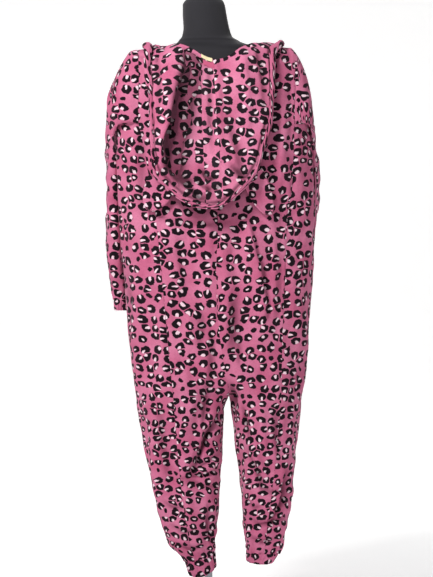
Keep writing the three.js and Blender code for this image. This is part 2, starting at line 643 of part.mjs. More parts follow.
// The armhole's ring from the panels' own corners, a seam's width off them: down the back edge, under
// the arm and up the front edge
function armholeRing(side, back, front) {
  const upper = UPPER_RISES.length - 1;
  const outwards = new THREE.Vector3(side * ARMHOLE_SEAM, 0, 0);
  const upwards = new THREE.Vector3(0, 0, ARMHOLE_SEAM);
  const seamEnd = CHEST_COLUMNS + WRAP_COLUMNS;
  const tip = back[0][BACK_COLUMNS].clone().lerp(front[0][CHEST_COLUMNS], 0.5);
  const underSeam = back[upper][BACK_COLUMNS].clone().lerp(front[upper][seamEnd], 0.5);
  const ring = [tip.add(outwards)];
  for (let r = 1; r < upper; r += 1) ring.push(back[r][BACK_COLUMNS].clone().add(outwards));
  ring.push(underSeam.add(outwards).add(upwards));
  for (let c = seamEnd - 1; c > CHEST_COLUMNS; c -= 1) ring.push(front[upper][c].clone().add(upwards));
  ring.push(front[upper][CHEST_COLUMNS].clone().add(outwards).add(upwards));
  for (let r = upper - 1; r > 0; r -= 1) ring.push(front[r][CHEST_COLUMNS].clone().add(outwards));
  return ring;
}

// One point of a sleeve ring that its table's row describes, at a share of the way round from the top
function sleevePoint(row, share) {
  const angle = 2 * Math.PI * share;
  const full = (value) => Math.sign(value) * Math.abs(value) ** SLEEVE_FULLNESS;
  const y = row.middleY - row.halfY * full(Math.sin(angle));
  const out = (1 + full(Math.cos(angle))) / 2;
  const x = lerp(row.innerX, row.outerX, out) + row.swing * (y - row.middleY);
  const z = lerp(row.innerZ, row.outerZ, out);
  return new THREE.Vector3(x, y, z);
}

// How far the body reaches sideways at a height and depth
function bodyReach(side, y, z) {
  const t = tube(side, z);
  const depth = y < 0 ? t.back : t.front;
  const sine = Math.min(1, Math.abs(y) / depth) ** (1 / FULLNESS);
  return t.centre + side * t.outer * Math.sqrt(1 - sine ** 2);
}

// Rows of a sleeve, whose first one follows the armhole's ring
function sleeveRows(side, ring) {
  const lengths = ring.map((p, i) => p.distanceTo(ring[(i + 1) % ring.length]));
  const total = lengths.reduce((sum, length) => sum + length, 0);
  let gone = 0;
  const shares = lengths.map((length) => {
    const share = gone / total;
    gone += length;
    return share;
  });
  const table = SLEEVES[side];
  const rest = ring.map((p, i) => p.clone().sub(sleevePoint(table[0], shares[i])));
  return table.slice(0, -1).map((row, k) =>
    shares.map((share, i) => {
      if (k === 0) return ring[i].clone();
      const point = sleevePoint(row, share).addScaledVector(rest[i], ARMHOLE_FADE[k] ?? 0);
      if (point.z > ARMHOLE_Z) return point;
      const least = bodyReach(side, point.y, point.z) + side * SLEEVE_CLEAR;
      if (side * (point.x - least) < 0) point.x = least;
      return point;
    }),
  );
}

// An elastic cuff: two rings with gathers between their top and bottom rows
function cuffRows(pointAt) {
  return [0, 0.5, 1].map((down) => {
    const row = [];
    for (let c = 0; c < CUFF_POINTS; c += 1) {
      const share = c / CUFF_POINTS;
      const swell = CUFF_GATHER_HEIGHT * Math.cos(2 * Math.PI * CUFF_GATHERS * share);
      row.push(pointAt(down, share, swell * lerp(0.4, 1, down)));
    }
    return row;
  });
}

function wristCuff(side) {
  const table = SLEEVES[side];
  const top = table[table.length - 2];
  const end = table[table.length - 1];
  const rows = cuffRows((down, share, swell) => {
    const names = Object.keys(top);
    const row = Object.fromEntries(names.map((name) => [name, lerp(top[name], end[name], down)]));
    const point = sleevePoint(row, share);
    const middle = new THREE.Vector3((row.innerX + row.outerX) / 2, row.middleY, point.z);
    const out = point.clone().sub(middle).normalize();
    return point.addScaledVector(out, swell).add(new THREE.Vector3(0, 0, -SEAM * (1 - down)));
  });
  return cloth(rows, { flip: side === RIGHT, closed: true, level: [0] });
}

function ankleCuff(side) {
  const leg = LEGS[side];
  const rows = cuffRows((down, share, swell) => {
    const z = lerp(leg.cuffTop, leg.cuffBottom, down);
    const angle = 2 * Math.PI * share;
    const t = tube(side, z);
    const reach = (t.outer - t.inner) / 2 + swell;
    const x = t.centre + side * ((t.outer + t.inner) / 2 - reach * Math.cos(angle));
    const sine = Math.sin(angle);
    const y = -Math.sign(sine) * Math.abs(sine) ** FULLNESS * (t.back + swell);
    return new THREE.Vector3(x, y, z + t.tilt * Math.cos(angle) - leg.sag * down * sine * sine);
  });
  return cloth(rows, { flip: side === RIGHT, closed: true, level: [0] });
}

// A place on the body's outside by its x and its height along the back, over the shoulder and down
// the front
function placeOnBody(x, along) {
  const crestAt = ARMHOLE_Z + SHOULDER_ARC;
  const face = along <= crestAt ? BACK : FRONT;
  const centre = TRUNK[0].centre;
  if (face === BACK && along < ARMHOLE_Z) {
    const side = x < tube(LEFT, along).centre ? LEFT : RIGHT;
    const t = tube(side, along);
    const across = side * (x - t.centre);
    return tubePoint(side, along, Math.acos(-clamp(across / t.outer, 0, 0.98)));
  }
  const side = x < centre ? LEFT : RIGHT;
  const rise = face === BACK ? (along - ARMHOLE_Z) / SHOULDER_ARC : 1 - (along - crestAt) / SHOULDER_ARC;
  return shoulderPoint(side, face, side * (x - centre), rise);
}

// The body's outward direction at such a place
function outwardAt(x, along) {
  const step = 12;
  const right = placeOnBody(x + step, along).sub(placeOnBody(x - step, along));
  const up = placeOnBody(x, along + step).sub(placeOnBody(x, along - step));
  return right.cross(up).normalize();
}

// The neckline's place for a turn round the hood
function neckPlace(turn) {
  const side = turn < 0 ? LEFT : RIGHT;
  const face = Math.abs(turn) <= 0.5 ? BACK : FRONT;
  const share = face === BACK ? Math.abs(turn) / 0.5 : (1 - Math.abs(turn)) / 0.5;
  const least = face === FRONT ? ZIP_SLOT : 0;
  const across = Math.max(least, share * NECK_POINT[side]);
  const rise = neckRise(side, face, across);
  const crestAt = ARMHOLE_Z + SHOULDER_ARC;
  const along = face === BACK ? ARMHOLE_Z + rise * SHOULDER_ARC : crestAt + (1 - rise) * SHOULDER_ARC;
  return { x: TRUNK[0].centre + side * across, along };
}

function pleatHeight(x, along) {
  const away = x - column(PLEAT, "x", "along", along);
  const width = away > 0 ? PLEAT_STEEP : PLEAT_GENTLE;
  return column(PLEAT, "height", "along", along) * Math.exp(-((away / width) ** 2));
}

// A point of the hood's cloth, at a turn round the neck and a share of the way from neckline to rim
function hoodPoint(turn, share) {
  const neck = neckPlace(turn);
  const rimX = column(RIM, "x", "turn", turn);
  const rimAlong = column(RIM, "along", "turn", turn);
  const rimLift = column(RIM, "lift", "turn", turn);
  const pouch = 1 - smooth(Math.abs(turn - POUCH_MIDDLE) / POUCH_TURN);
  const gone = 1 - (1 - share) ** (1 + 0.6 * pouch);
  const x = lerp(neck.x, rimX, gone);
  const along = lerp(neck.along, rimAlong, gone);
  const middle = Math.exp(-(((turn - POUCH_MIDDLE) / HOOD_SEWN.reach) ** 2));
  const seat = lerp(HOOD_SEAT, HOOD_SEWN.lift, middle);
  const low = lerp(seat, HOOD_FLOAT, smooth(share * 7));
  const lift = low + (rimLift - low) * share ** lerp(1.6, 4.5, pouch);
  const ends = Math.sin(Math.PI * clamp(share, 0, 1)) ** 0.5;
  const pleat = Math.abs(turn) < 0.5 ? pleatHeight(x, along) * ends : 0;
  return placeOnBody(x, along).addScaledVector(outwardAt(x, along), lift + pleat);
}

// Rows of the hood between two of its turns; the last two rows are the two sides of the hem
function hoodRows(from, to) {
  const turns = HOOD_TURNS.filter((turn) => turn >= from - 1e-6 && turn <= to + 1e-6);
  const rows = [];
  for (let r = 0; r <= HOOD_ROWS; r += 1) {
    rows.push(
      turns.map((turn) => {
        const long = hoodPoint(turn, 0).distanceTo(hoodPoint(turn, 1));
        const hemAt = 1 - Math.min(0.6, HEM_WIDTH / long);
        return hoodPoint(turn, r < HOOD_ROWS ? hemAt * (r / (HOOD_ROWS - 1)) ** HOOD_ROW_SPREAD : 1);
      }),
    );
  }
  return rows;
}

// Parts two neighbouring hood panels by half a seam each
function trimmed(rows, first, last) {
  return rows.map((row) => {
    const out = row.map((p) => p.clone());
    const nudge = (i, towards) => out[i].add(row[towards].clone().sub(row[i]).setLength(SEAM / 2));
    if (first) nudge(0, 1);
    if (last) nudge(row.length - 1, row.length - 2);
    return out;
  });
}

// An ear: a rounded flap with its root under the hood's rim and its tip on the back
function earGeometry(side) {
  const ear = EARS[side];
  const along = new THREE.Vector2(ear.tipX - ear.rootX, ear.tipZ - ear.rootZ);
  const across = new THREE.Vector2(-along.y, along.x).normalize();
  const rows = [];
  for (let r = 0; r <= EAR_STEPS; r += 1) {
    const t = r / EAR_STEPS;
    const reach = Math.sin(t * 0.94 * (Math.PI / 2));
    const half = (ear.width / 2) * Math.sqrt(Math.max(0, 1 - reach ** 2.6)) ** 0.9;
    const row = [];
    for (let c = -3; c <= 3; c += 1) {
      const away = (c / 3) * half;
      const x = ear.rootX + along.x * reach + across.x * away;
      const z = ear.rootZ + along.y * reach + across.y * away;
      const cup = 3 * (c / 3) ** 2 * (1 - reach);
      const lift = lerp(ear.rootLift, ear.tipLift, smooth(reach)) + cup;
      row.push(placeOnBody(x, z).add(new THREE.Vector3(0, -lift, 0)));
    }
    rows.push(row);
  }
  return cloth(rows, { thickness: EAR_THICK });
}

// A strip along the zip on the front, moved in or out from the cloth's own points
function zipStrip(width, out, thick) {
  const middle = (z) => column(TRUNK, "centre", "z", z);
  const rows = [];
  for (const rise of UPPER_RISES.slice(0, -1)) {
    const ends = [LEFT, RIGHT].map((side) => {
      const top = neckRise(side, FRONT, 0) * rise;
      return shoulderPoint(side, FRONT, width / 2, top);
    });
    rows.push([ends[0], ends[0].clone().lerp(ends[1], 0.5), ends[1]]);
  }
  for (const z of TRUNK_LEVELS.filter((level) => level > ZIP_END_Z)) {
    const ends = [LEFT, RIGHT].map((side) => {
      return tubePoint(side, z, 2 * Math.PI - edgeAngle(side, z, width / 2));
    });
    rows.push([ends[0], new THREE.Vector3(middle(z), (ends[0].y + ends[1].y) / 2, z), ends[1]]);
  }
  return cloth(offset(rows, out, { flip: true }), { flip: true, thickness: thick });
}

// A small flat piece on the hood's lining at the neckline, between two of the hood's turns. It starts
// so far above the neckline and ends so far below it.
function tabGeometry({ fromTurn, toTurn, above, below, out, thick }) {
  const turns = [0, 0.25, 0.5, 0.75, 1].map((t) => lerp(fromTurn, toTurn, t));
  const heights = [-above, lerp(-above, below, 0.33), lerp(-above, below, 0.67), below];
  const rows = heights.map((down) =>
    turns.map((turn) => {
      const edge = hoodPoint(turn, 0);
      const lower = hoodPoint(turn, 0.08);
      const point = edge.clone().addScaledVector(lower.clone().sub(edge).normalize(), down);
      const long = edge.distanceTo(lower);
      return down > 0 ? hoodPoint(turn, (0.08 * down) / long) : point;
    }),
  );
  return cloth(offset(rows, out + thick, {}), { thickness: thick });
}

// Solids for the zip slider and the stand
function solidOf(geometry) {
  const bare = geometry.clone();
  bare.deleteAttribute("normal");
  bare.deleteAttribute("uv");
  const merged = mergeVertices(bare, 1e-4);
  return new wasm.Manifold(
    new wasm.Mesh({
      numProp: 3,
      vertProperties: new Float32Array(merged.attributes.position.array),
      triVerts: new Uint32Array(merged.index.array),
    }),
  );
}

function geometryFrom(solid) {
  const mesh = solid.getMesh();
  const geometry = new THREE.BufferGeometry();
  geometry.setAttribute("position", new THREE.BufferAttribute(Float32Array.from(mesh.vertProperties), 3));
  geometry.setIndex(new THREE.BufferAttribute(Uint32Array.from(mesh.triVerts), 1));
  geometry.computeVertexNormals();
  return geometry;
}

function boxAt(width, depth, height, x, y, z) {
  return new THREE.BoxGeometry(width, depth, height).translate(x, y, z);
}

// The slider's face on the chain, and its bridge: an arch that the pull's eye goes round
function sliderGeometry() {
  const plate = boxAt(SLIDER.width, SLIDER.thick, SLIDER.length, 0, SLIDER.thick / 2, 0);
  const inside = BRIDGE.height - BRIDGE.bar;
  const over = boxAt(BRIDGE.width, BRIDGE.bar, BRIDGE.length, 0, SLIDER.thick + inside + BRIDGE.bar / 2, 0);
  const footZ = (BRIDGE.length - BRIDGE.bar) / 2;
  const footY = SLIDER.thick + inside / 2;
  let solid = solidOf(plate).add(solidOf(over));
  for (const end of [-footZ, footZ]) {
    solid = solid.add(solidOf(boxAt(BRIDGE.width, inside + 0.2, BRIDGE.bar, 0, footY, end)));
  }
  return geometryFrom(solid);
}

// The pull tab: a rounded plate with an eye at its top, hanging from its origin
function pullGeometry() {
  const half = PULL.width / 2;
  const outline = [];
  for (const [start, x, y] of PULL_CORNERS) {
    const middleX = x * (half - PULL.corner);
    const middleY = y > 0 ? PULL.rim - PULL.corner : PULL.rim - PULL.length + PULL.corner;
    for (let k = 0; k <= 3; k += 1) {
      const angle = start + (k * Math.PI) / 6;
      const corner = new THREE.Vector2(Math.cos(angle), Math.sin(angle)).multiplyScalar(PULL.corner);
      outline.push(corner.add(new THREE.Vector2(middleX, middleY)));
    }
  }
  const shape = new THREE.Shape(outline);
  const eye = new THREE.Path();
  eye.moveTo(-PULL_EYE.width / 2, 0);
  eye.lineTo(PULL_EYE.width / 2, 0);
  eye.lineTo(PULL_EYE.width / 2, -PULL_EYE.length);
  eye.lineTo(-PULL_EYE.width / 2, -PULL_EYE.length);
  shape.holes.push(eye);
  const geometry = new THREE.ExtrudeGeometry(shape, { depth: PULL.thick, bevelEnabled: false });
  return geometry.translate(0, -PULL.rim / 2, -PULL.thick / 2).rotateX(Math.PI / 2);
}

// A solid through oval rings, closed by flat ends
function loft(rings) {
  const points = rings.flat();
  const count = rings[0].length;
  const triangles = [];
  for (let r = 0; r + 1 < rings.length; r += 1) {
    for (let c = 0; c < count; c += 1) {
      const next = (c + 1) % count;
      const corners = [r * count + c, r * count + next, (r + 1) * count + next, (r + 1) * count + c];
      triangles.push([corners[0], corners[1], corners[2]], [corners[0], corners[2], corners[3]]);
    }
  }
  const middleOf = (ring) => ring.reduce((sum, p) => sum.add(p), new THREE.Vector3()).divideScalar(count);
  const bottom = points.push(middleOf(rings[0])) - 1;
  const top = points.push(middleOf(rings[rings.length - 1])) - 1;
  const first = (rings.length - 1) * count;
  for (let c = 0; c < count; c += 1) {
    const next = (c + 1) % count;
    triangles.push([bottom, next, c], [top, first + c, first + next]);
  }
  return geometryOf(points, triangles);
}

function torsoGeometry() {
  const rings = TORSO.map((row) => {
    const ring = [];
    for (let c = 0; c < TORSO_POINTS; c += 1) {
      const angle = (2 * Math.PI * c) / TORSO_POINTS;
      const x = lerp(row.left, row.right, (1 + Math.cos(angle)) / 2);
      ring.push(new THREE.Vector3(x, row.depth * Math.sin(angle), row.z));
    }
    return ring;
  });
  return loft(rings);
}

function baseGeometry() {
  const bore = POLE_RADIUS + SEAM;
  const profile = [
    [0, 0],
    [BASE.radius - 2, 0],
    [BASE.radius, 2],
    [BASE.radius, BASE.rim],
    [BASE.hub + 14, BASE.crown],
    [BASE.hub, BASE.crown + 6],
    [BASE.hub, BASE.hubTop],
    [bore, BASE.hubTop],
    [bore, SOCKET_FLOOR],
    [0, SOCKET_FLOOR],
  ].map(([radius, height]) => new THREE.Vector2(radius, height));
  return new THREE.LatheGeometry(profile, STAND_SEGMENTS).rotateX(Math.PI / 2);
}

function poleGeometry() {
  const from = SOCKET_FLOOR + SEAM;
  const to = TORSO[0].z - SEAM;
  return new THREE.CylinderGeometry(POLE_RADIUS, POLE_RADIUS, to - from, 16)
    .rotateX(Math.PI / 2)
    .translate(0, 0, (from + to) / 2);
}

const onesie = new THREE.Group();

function place(name, geometry, color, roughness, metalness = 0) {
  const mesh = new THREE.Mesh(geometry, new THREE.MeshStandardMaterial({ color, roughness, metalness }));
  mesh.name = name;
  onesie.add(mesh);
  return mesh;
}

const sideName = { [LEFT]: "left", [RIGHT]: "right" };

for (const side of [LEFT, RIGHT]) {
  const name = sideName[side];
  const level = [UPPER_RISES.length - 1 + TRUNK_LEVELS.length + LEG_ROWS - 1];
  const behind = { flip: side === LEFT, level };
  const before = { flip: side === RIGHT, level };
  const back = backRows(side);
  const front = frontRows(side);
  const backInner = ownSide(side, offset(back, -FLEECE, behind));
  const frontInner = ownSide(side, offset(front, -FLEECE, before));
  alignSeams({ back, backInner, front, frontInner });
  place(`back_${name}`, shell(back, backInner, behind), PINK, 0.95);
  place(`front_${name}`, shell(front, frontInner, before), PINK, 0.95);

  const tubeOptions = { flip: side === RIGHT, closed: true, level: [SLEEVES[side].length - 2] };
  const sleeve = sleeveRows(side, armholeRing(side, back, front));
  const sleeveInner = offset(sleeve, -FLEECE, tubeOptions);
  sleeveInner[0] = armholeRing(side, backInner, frontInner);
  place(`sleeve_${name}`, shell(sleeve, sleeveInner, tubeOptions), PINK, 0.95);
  place(`wrist_cuff_${name}`, wristCuff(side), PINK, 0.95);
  place(`ankle_cuff_${name}`, ankleCuff(side), PINK, 0.95);
  place(`ear_${name}`, earGeometry(side), PINK, 0.95);
}

const hoodLeft = trimmed(hoodRows(-1, HOOD_SEAMS.left), false, true);
const hoodCentre = trimmed(hoodRows(HOOD_SEAMS.left, HOOD_SEAMS.right), true, true);
const hoodRight = trimmed(hoodRows(HOOD_SEAMS.right, 1), true, false);
place("hood_left", cloth(hoodLeft), PALE_PINK, 0.95);
place("hood_centre", cloth(hoodCentre), PALE_PINK, 0.95);
place("hood_right", cloth(hoodRight), PALE_PINK, 0.95);
const hood = hoodRows(-1, 1);
const hemOuter = offset(hood, SEAM + FLEECE, {}).slice(-2);
const hemInner = offset(hood, SEAM, {}).slice(-2);
place("hood_hem", shell(hemOuter, hemInner, {}), PINK, 0.95);

place("neck_label", tabGeometry(LABEL), CREAM, 0.8);
place("hanger_loop", tabGeometry(LOOP), PINK, 0.9);
place("zip_tape", zipStrip(ZIP_TAPE.width, -ZIP_TAPE.in, ZIP_TAPE.thick), PINK, 0.8);
place("zip_chain", zipStrip(ZIP_CHAIN.width, ZIP_CHAIN.out, ZIP_CHAIN.thick), PINK, 0.5);

const zipAt = (below) => shoulderPoint(LEFT, FRONT, 0, NECK_RISE[FRONT] - below / SHOULDER_ARC);
const sliderFoot = zipAt(SLIDER.below);
const sliderEnds = [-1, 1].map((end) => zipAt(SLIDER.below + (end * SLIDER.length) / 2));
const sliderDown = sliderEnds[1].sub(sliderEnds[0]).normalize();
const outOf = (down) => new THREE.Vector3(0, -down.z, down.y);
const leanOf = (down) => Math.atan2(down.y, -down.z);
const sliderAt = sliderFoot.clone().addScaledVector(outOf(sliderDown), ZIP_CHAIN.out + 2 * SEAM);
const slider = place("zip_slider", sliderGeometry(), METAL, 0.35, 1);
slider.position.copy(sliderAt);
slider.rotation.x = leanOf(sliderDown);

const hingeOut = SLIDER.thick + (BRIDGE.height - BRIDGE.bar) / 2;
const pullAt = sliderAt.clone().addScaledVector(outOf(sliderDown), hingeOut);
const pullRest = zipAt(SLIDER.below + PULL.length).addScaledVector(outOf(sliderDown), PULL.clear);
const pull = place("zip_pull", pullGeometry(), METAL, 0.35, 1);
pull.position.copy(pullAt);
pull.rotation.x = leanOf(pullRest.sub(pullAt).normalize());

place("form_torso", torsoGeometry(), BLACK_JERSEY, 0.9);
place("form_pole", poleGeometry(), STAND_GREY, 0.35, 0.8);
place("form_base", baseGeometry(), STAND_GREY, 0.4, 0.8);

export default onesie;
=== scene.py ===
"""A hooded fleece one-piece pajama with ears on a limbless dress form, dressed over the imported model.

Lengths are millimetres until a mesh is made. The back of the garment faces -Y, and left and right
are as seen from behind.
"""

import math

import bpy
import numpy as np
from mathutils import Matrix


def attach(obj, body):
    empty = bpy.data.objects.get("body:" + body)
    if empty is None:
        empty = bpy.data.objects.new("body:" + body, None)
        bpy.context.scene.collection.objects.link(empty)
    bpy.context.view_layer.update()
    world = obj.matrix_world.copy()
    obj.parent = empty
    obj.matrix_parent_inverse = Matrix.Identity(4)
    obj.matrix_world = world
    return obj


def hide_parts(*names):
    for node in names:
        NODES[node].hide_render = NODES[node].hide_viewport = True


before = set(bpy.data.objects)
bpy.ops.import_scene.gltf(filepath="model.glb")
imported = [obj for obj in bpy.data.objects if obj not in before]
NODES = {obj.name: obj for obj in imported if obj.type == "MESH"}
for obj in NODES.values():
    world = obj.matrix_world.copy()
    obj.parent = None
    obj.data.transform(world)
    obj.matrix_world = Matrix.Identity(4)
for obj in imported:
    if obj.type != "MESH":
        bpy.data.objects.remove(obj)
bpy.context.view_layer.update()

LEFT, RIGHT = -1, 1
BACK, FRONT = -1, 1
FLEECE = 2.0
SEAM = 0.3
STEP = 4.8
CUT_EDGE = math.radians(62)


def table(text):
    """Named columns of numbers from a text table."""
    lines = [line.split() for line in text.strip().splitlines()]
    return {name: np.array([float(row[k]) for row in lines[1:]]) for k, name in enumerate(lines[0])}


def strokes(text):
    """Creases: half width on the left and right of a line, height and the line's points."""
    out = []
    for line in text.strip().splitlines()[1:]:
        left, right, height, *path = line.split()
        points = np.array([[float(v) for v in point.split(",")] for point in path])
        out.append((float(left), float(right), float(height), points))
    return out


# The garment's sections, as the CAD has them
ARMHOLE_Z = 1330.0
CROTCH_TOP_Z = 720.0
CROTCH_Z = 588.0
FULLNESS = 0.85
SHOULDER_FULLNESS = 0.6
SHOULDER_BLEND = 110.0
SHOULDER_ARC = 260.0
CROTCH_SPREAD = 0.6

TRUNK = table("""
z     centre  left  right  back  front
1330  23      -252  279    118   124
1264  23      -250  287    120   126
1154  23      -247  291    118   122
1044  26      -243  290    114   118
934   21      -232  287    112   115
852   23      -227  282    110   112
769   29      -223  278    106   108
687   41      -213  268    102   104
632   52      -204  263    98    101
588   56      -197  254    97    97
""")
SIDE_SEAMS = table("""
z     left  right
1330  -191  234
1264  -177  232
1154  -155  227
1071  -142  214
945   -129  210
819   -117  204
692   -106  200
588   -95   198
440   -84   186
324   -72   172
192   -52   156
130   -30   150
""")
LEGS = {
    LEFT: table("""
z    outer  inner  depth  tilt
588  -197   55.4   97     0
555  -194   43     94.5   0
489  -183   40     89     0
423  -172   37     83     0
357  -158   32     76     0
291  -142   29     69     0
225  -122   22     58     0
192  -111   19     50     2
165  -96    18.5   43     4
141  -68    19     35     6
106  -54    20.5   32     10
"""),
    RIGHT: table("""
z    outer  inner  depth  tilt
588  254    56.6   97     0
555  252    62     94.5   0
489  246    70     89     0
423  238    78     82     0
357  232    87     74     0
291  227    92     67     0
225  216    96     56     0
192  208    100    48     0
170  201    102    43     1
157  194    103    39     1
131  176    106    33     2
"""),
}
CUFFS = {LEFT: (141, 106, 12), RIGHT: (157, 131, 3)}
CREST = table("""
x     z
-240  1524
-200  1538
-160  1542
-120  1542
-80   1565
-30   1592
23    1600
75    1592
110   1568
148   1549
180   1548
222   1544
260   1530
""")
NECK_POINT = {LEFT: 143.0, RIGHT: 125.0}
NECK_RISE = {BACK: 0.4, FRONT: 0.3}
NECK_CURVE = 2.5
ARMHOLES = {
    LEFT: table("""
rise  back  front
0     214   206
0.2   212   203
0.6   214   208
1     223   223
"""),
    RIGHT: table("""
rise  back  front
0     211   196
0.2   213   194
0.6   212   196
1     199   199
"""),
}
SLEEVES = {
    LEFT: table("""
row  outerX  outerZ  innerX  innerZ  middleY  halfY  swing
0    -200    1538    -252    1330    0        70     0
1    -214    1534    -260    1331    1        72     0
2    -232    1511    -263    1322    6        76     0
3    -251    1477    -263    1306    18       80     0.02
4    -266    1440    -258    1288    34       84     0.02
5    -276    1396    -252    1262    50       87     0.02
6    -281    1340    -246    1228    62       88     0.02
7    -283    1270    -241    1185    70       87     0.02
8    -284    1180    -238    1125    76       84     0.02
9    -284    1085    -236    1055    80       78     0.02
10   -282    995     -232    985     82       70     0.02
11   -277    925     -228    922     82       58     0.02
12   -269    876     -224    876     80       44     0.02
13   -264    852     -227    852     79       36     0.02
14   -262    822     -226    822     79       34     0.02
"""),
    RIGHT: table("""
row  outerX  outerZ  innerX  innerZ  middleY  halfY  swing
0    222     1544    279     1330    0        68     0
1    232     1533    287     1331    2        70     0
2    250     1505    291     1322    8        75     0
3    266     1468    288     1304    20       80     -0.02
4    278     1428    284     1284    36       84     -0.02
5    287     1380    279     1256    52       87     -0.02
6    292     1320    274     1220    64       88     -0.02
7    300     1250    269     1176    72       87     -0.02
8    305     1170    264     1120    78       84     -0.02
9    301     1085    258     1060    84       78     -0.02
10   292     1000    249     992     90       68     -0.02
11   281     930     240     930     98       56     -0.08
12   271     880     232     880     104      42     -0.16
13   266     852     230     852     106      36     -0.16
14   265     822     229     822     108      34     -0.1
"""),
}
SLEEVE_CLEAR = 3.0
SLEEVE_FULLNESS = 0.72
ARMHOLE_SEAM = 0.42
ARMHOLE_FADE = table("""
row  share
0    1
1    0.85
2    0.55
3    0.25
4    0.08
5    0
14   0
""")
FOLDS = table("""
face  topX  topZ  endX  endZ  width  height
-1    100   1090  158   740   24     10
-1    60    1120  95    640   26     -8
-1    23    1180  30    740   18     -6
-1    -48   1120  -30   560   30     -8
-1    14    800   -60   330   20     -9
-1    -150  1290  -125  480   22     7
-1    -205  1240  -160  620   22     -6
-1    236   1300  214   760   20     -9
-1    150   560   170   220   26     -8
-1    -120  520   -70   190   24     -7
1     -90   1280  -70   620   30     -8
1     140   1260  120   600   30     -8
1     -130  1200  -125  520   26     7
1     172   1220  165   540   26     7
1     -70   540   -60   210   24     -7
1     160   540   155   210   24     -7
""")
LEG_GATHERS = 5
LEG_GATHER_HEIGHT = 3.0
LEG_GATHER_FADE = 90.0
CUFF_GATHERS = 9
CUFF_GATHER_HEIGHT = 1.8
ZIP_END_Z = 700.0
ZIP_SLOT = 7.0
RIM = table("""
turn    x     along  lift
-1      14    1803   7
-0.8    -85   1765   8
-0.65   -145  1680   9
-0.5    -181  1588   8
-0.455  -173  1500   9
-0.41   -171  1410   8
-0.37   -154  1347   9
-0.33   -144  1264   14
-0.29   -137  1185   24
-0.245  -106  1151   36
-0.2    -62   1120   46
-0.157  -5    1100   52
-0.1    20    1102   53
-0.038  44    1112   52
0.03    72    1133   49
0.09    100   1159   44
0.15    124   1190   36
0.22    146   1257   26
0.29    169   1333   18
0.36    176   1390   15
0.43    179   1460   12
0.5     206   1545   8
0.58    202   1620   10
0.65    180   1680   9
0.8     118   1765   8
1       32    1803   7
""")
HOOD_SEAMS = (-0.157, -0.038)
HOOD_SEAT, HOOD_FLOAT = 4.0, 8.0
HOOD_SEWN_LIFT, HOOD_SEWN_REACH = 2.6, 0.12
HEM_WIDTH = 25.0
POUCH_TURN, POUCH_MIDDLE = 0.34, -0.08
PLEAT = table("""
along  x     height
1480   -30   3
1436   -40   10
1400   -56   22
1353   -80   34
1264   -118  30
1200   -128  10
1150   -130  0
""")
PLEAT_STEEP, PLEAT_GENTLE = 15.0, 58.0
EARS = {
    LEFT: dict(root=(-124, 1172), tip=(-160, 1095), width=82, root_lift=24.6, tip_lift=8),
    RIGHT: dict(root=(117, 1190), tip=(166, 1082), width=66, root_lift=22.2, tip_lift=8),
}
EAR_THICK = 4.5
TORSO = table("""
z     left  right  depth
870   -148  148    88
876   -158  158    94
930   -170  172    99
1010  -165  168    96
1110  -136  138    84
1210  -148  150    94
1310  -170  172    103
1390  -186  188    100
1440  -196  198    94
1480  -198  204    84
1506  -192  202    73
1520  -180  194    65
1530  -162  192    60
1536  -140  180    57
1542  -114  172    56
1547  -103  149    56
1554  -92   107    56
1565  -81   81     56
1576  -73   65     55
1600  -69   57     54
1640  -71   49     53
1662  -71   45     52
1677  -61   37     44
1685  -44   21     30
""")

# Creases of the trunk, legs and shoulders behind: half widths, height, then points across and up
BODY_CREASES = strokes("""
left right height path
6  11 -6   9,780 6,714 4,624
7  13 -6   1,654 -10,568 -12,514 -10,458
14 6  7    100,1077 117,1020 124,977 136,948 142,901 151,849 151,819 146,788
5  8  -5   110,1072 126,1020 133,978 146,948 151,901 161,849 161,819 155,788
6  6  -4   80,758 87,720 84,676
15 13 -7   73,879 74,797 67,698
11 12 -6   -23,830 -19,775 -25,722
12 12 4    -51,852 -54,728 -62,577
14 14 4    37,1017 40,907 37,852
9  9  -4   -81,1030 -73,956 -62,852
10 9  4    175,1058 180,934 175,769
9  6  -8   40,546 10,502 -12,456 -34,406 -51,382
15 9  5    21,546 -7,508 -32,461 -54,412 -67,382
6  6  -4   37,445 -1,409 -48,384 -81,392
6  6  -4   37,398 -1,376 -48,373 -87,360
6  6  -3.5 32,348 -10,343 -51,360 -76,346
8  8  3    34,420 -4,390 -40,379
5  7  -4   -128,302 -100,285 -67,282
5  8  -5   -1,302 1,230 10,181
6  6  -4   -106,236 -67,216 -26,225
6  6  -3.5 -89,184 -51,170 -7,181
4  7  -6   91,566 100,514 111,472
8  8  -6   58,632 70,560
7  7  -5   103,450 114,423 133,390 147,340 169,329 205,332
8  8  4    125,434 147,395 164,357 197,351
5  10 -6   216,401 205,310 176,260 164,225
6  6  -5   109,258 136,238 166,244 216,260
6  6  -4   103,307 125,285 147,288
6  6  -4   114,203 147,189 186,200
9  9  4    -161,522 -150,384 -122,247
9  9  -4   -133,577 -125,467 -106,357
10 10 -5   183,577 186,467 197,406
9  9  4    153,599 147,508 158,426
5  6  -5   182,1512 177,1451 177,1385
5  5  -3   -221,1539 -191,1516 -166,1509
5  5  -3   208,1526 186,1506 177,1484
12 12 -5   -188,1347 -183,1237 -180,1086
12 12 4    205,1347 194,1209 188,1086
10 10 -4   -161,1086 -92,1061 -10,1055 76,1072
8  8  -4   -227,956 -221,879 -213,783
""")

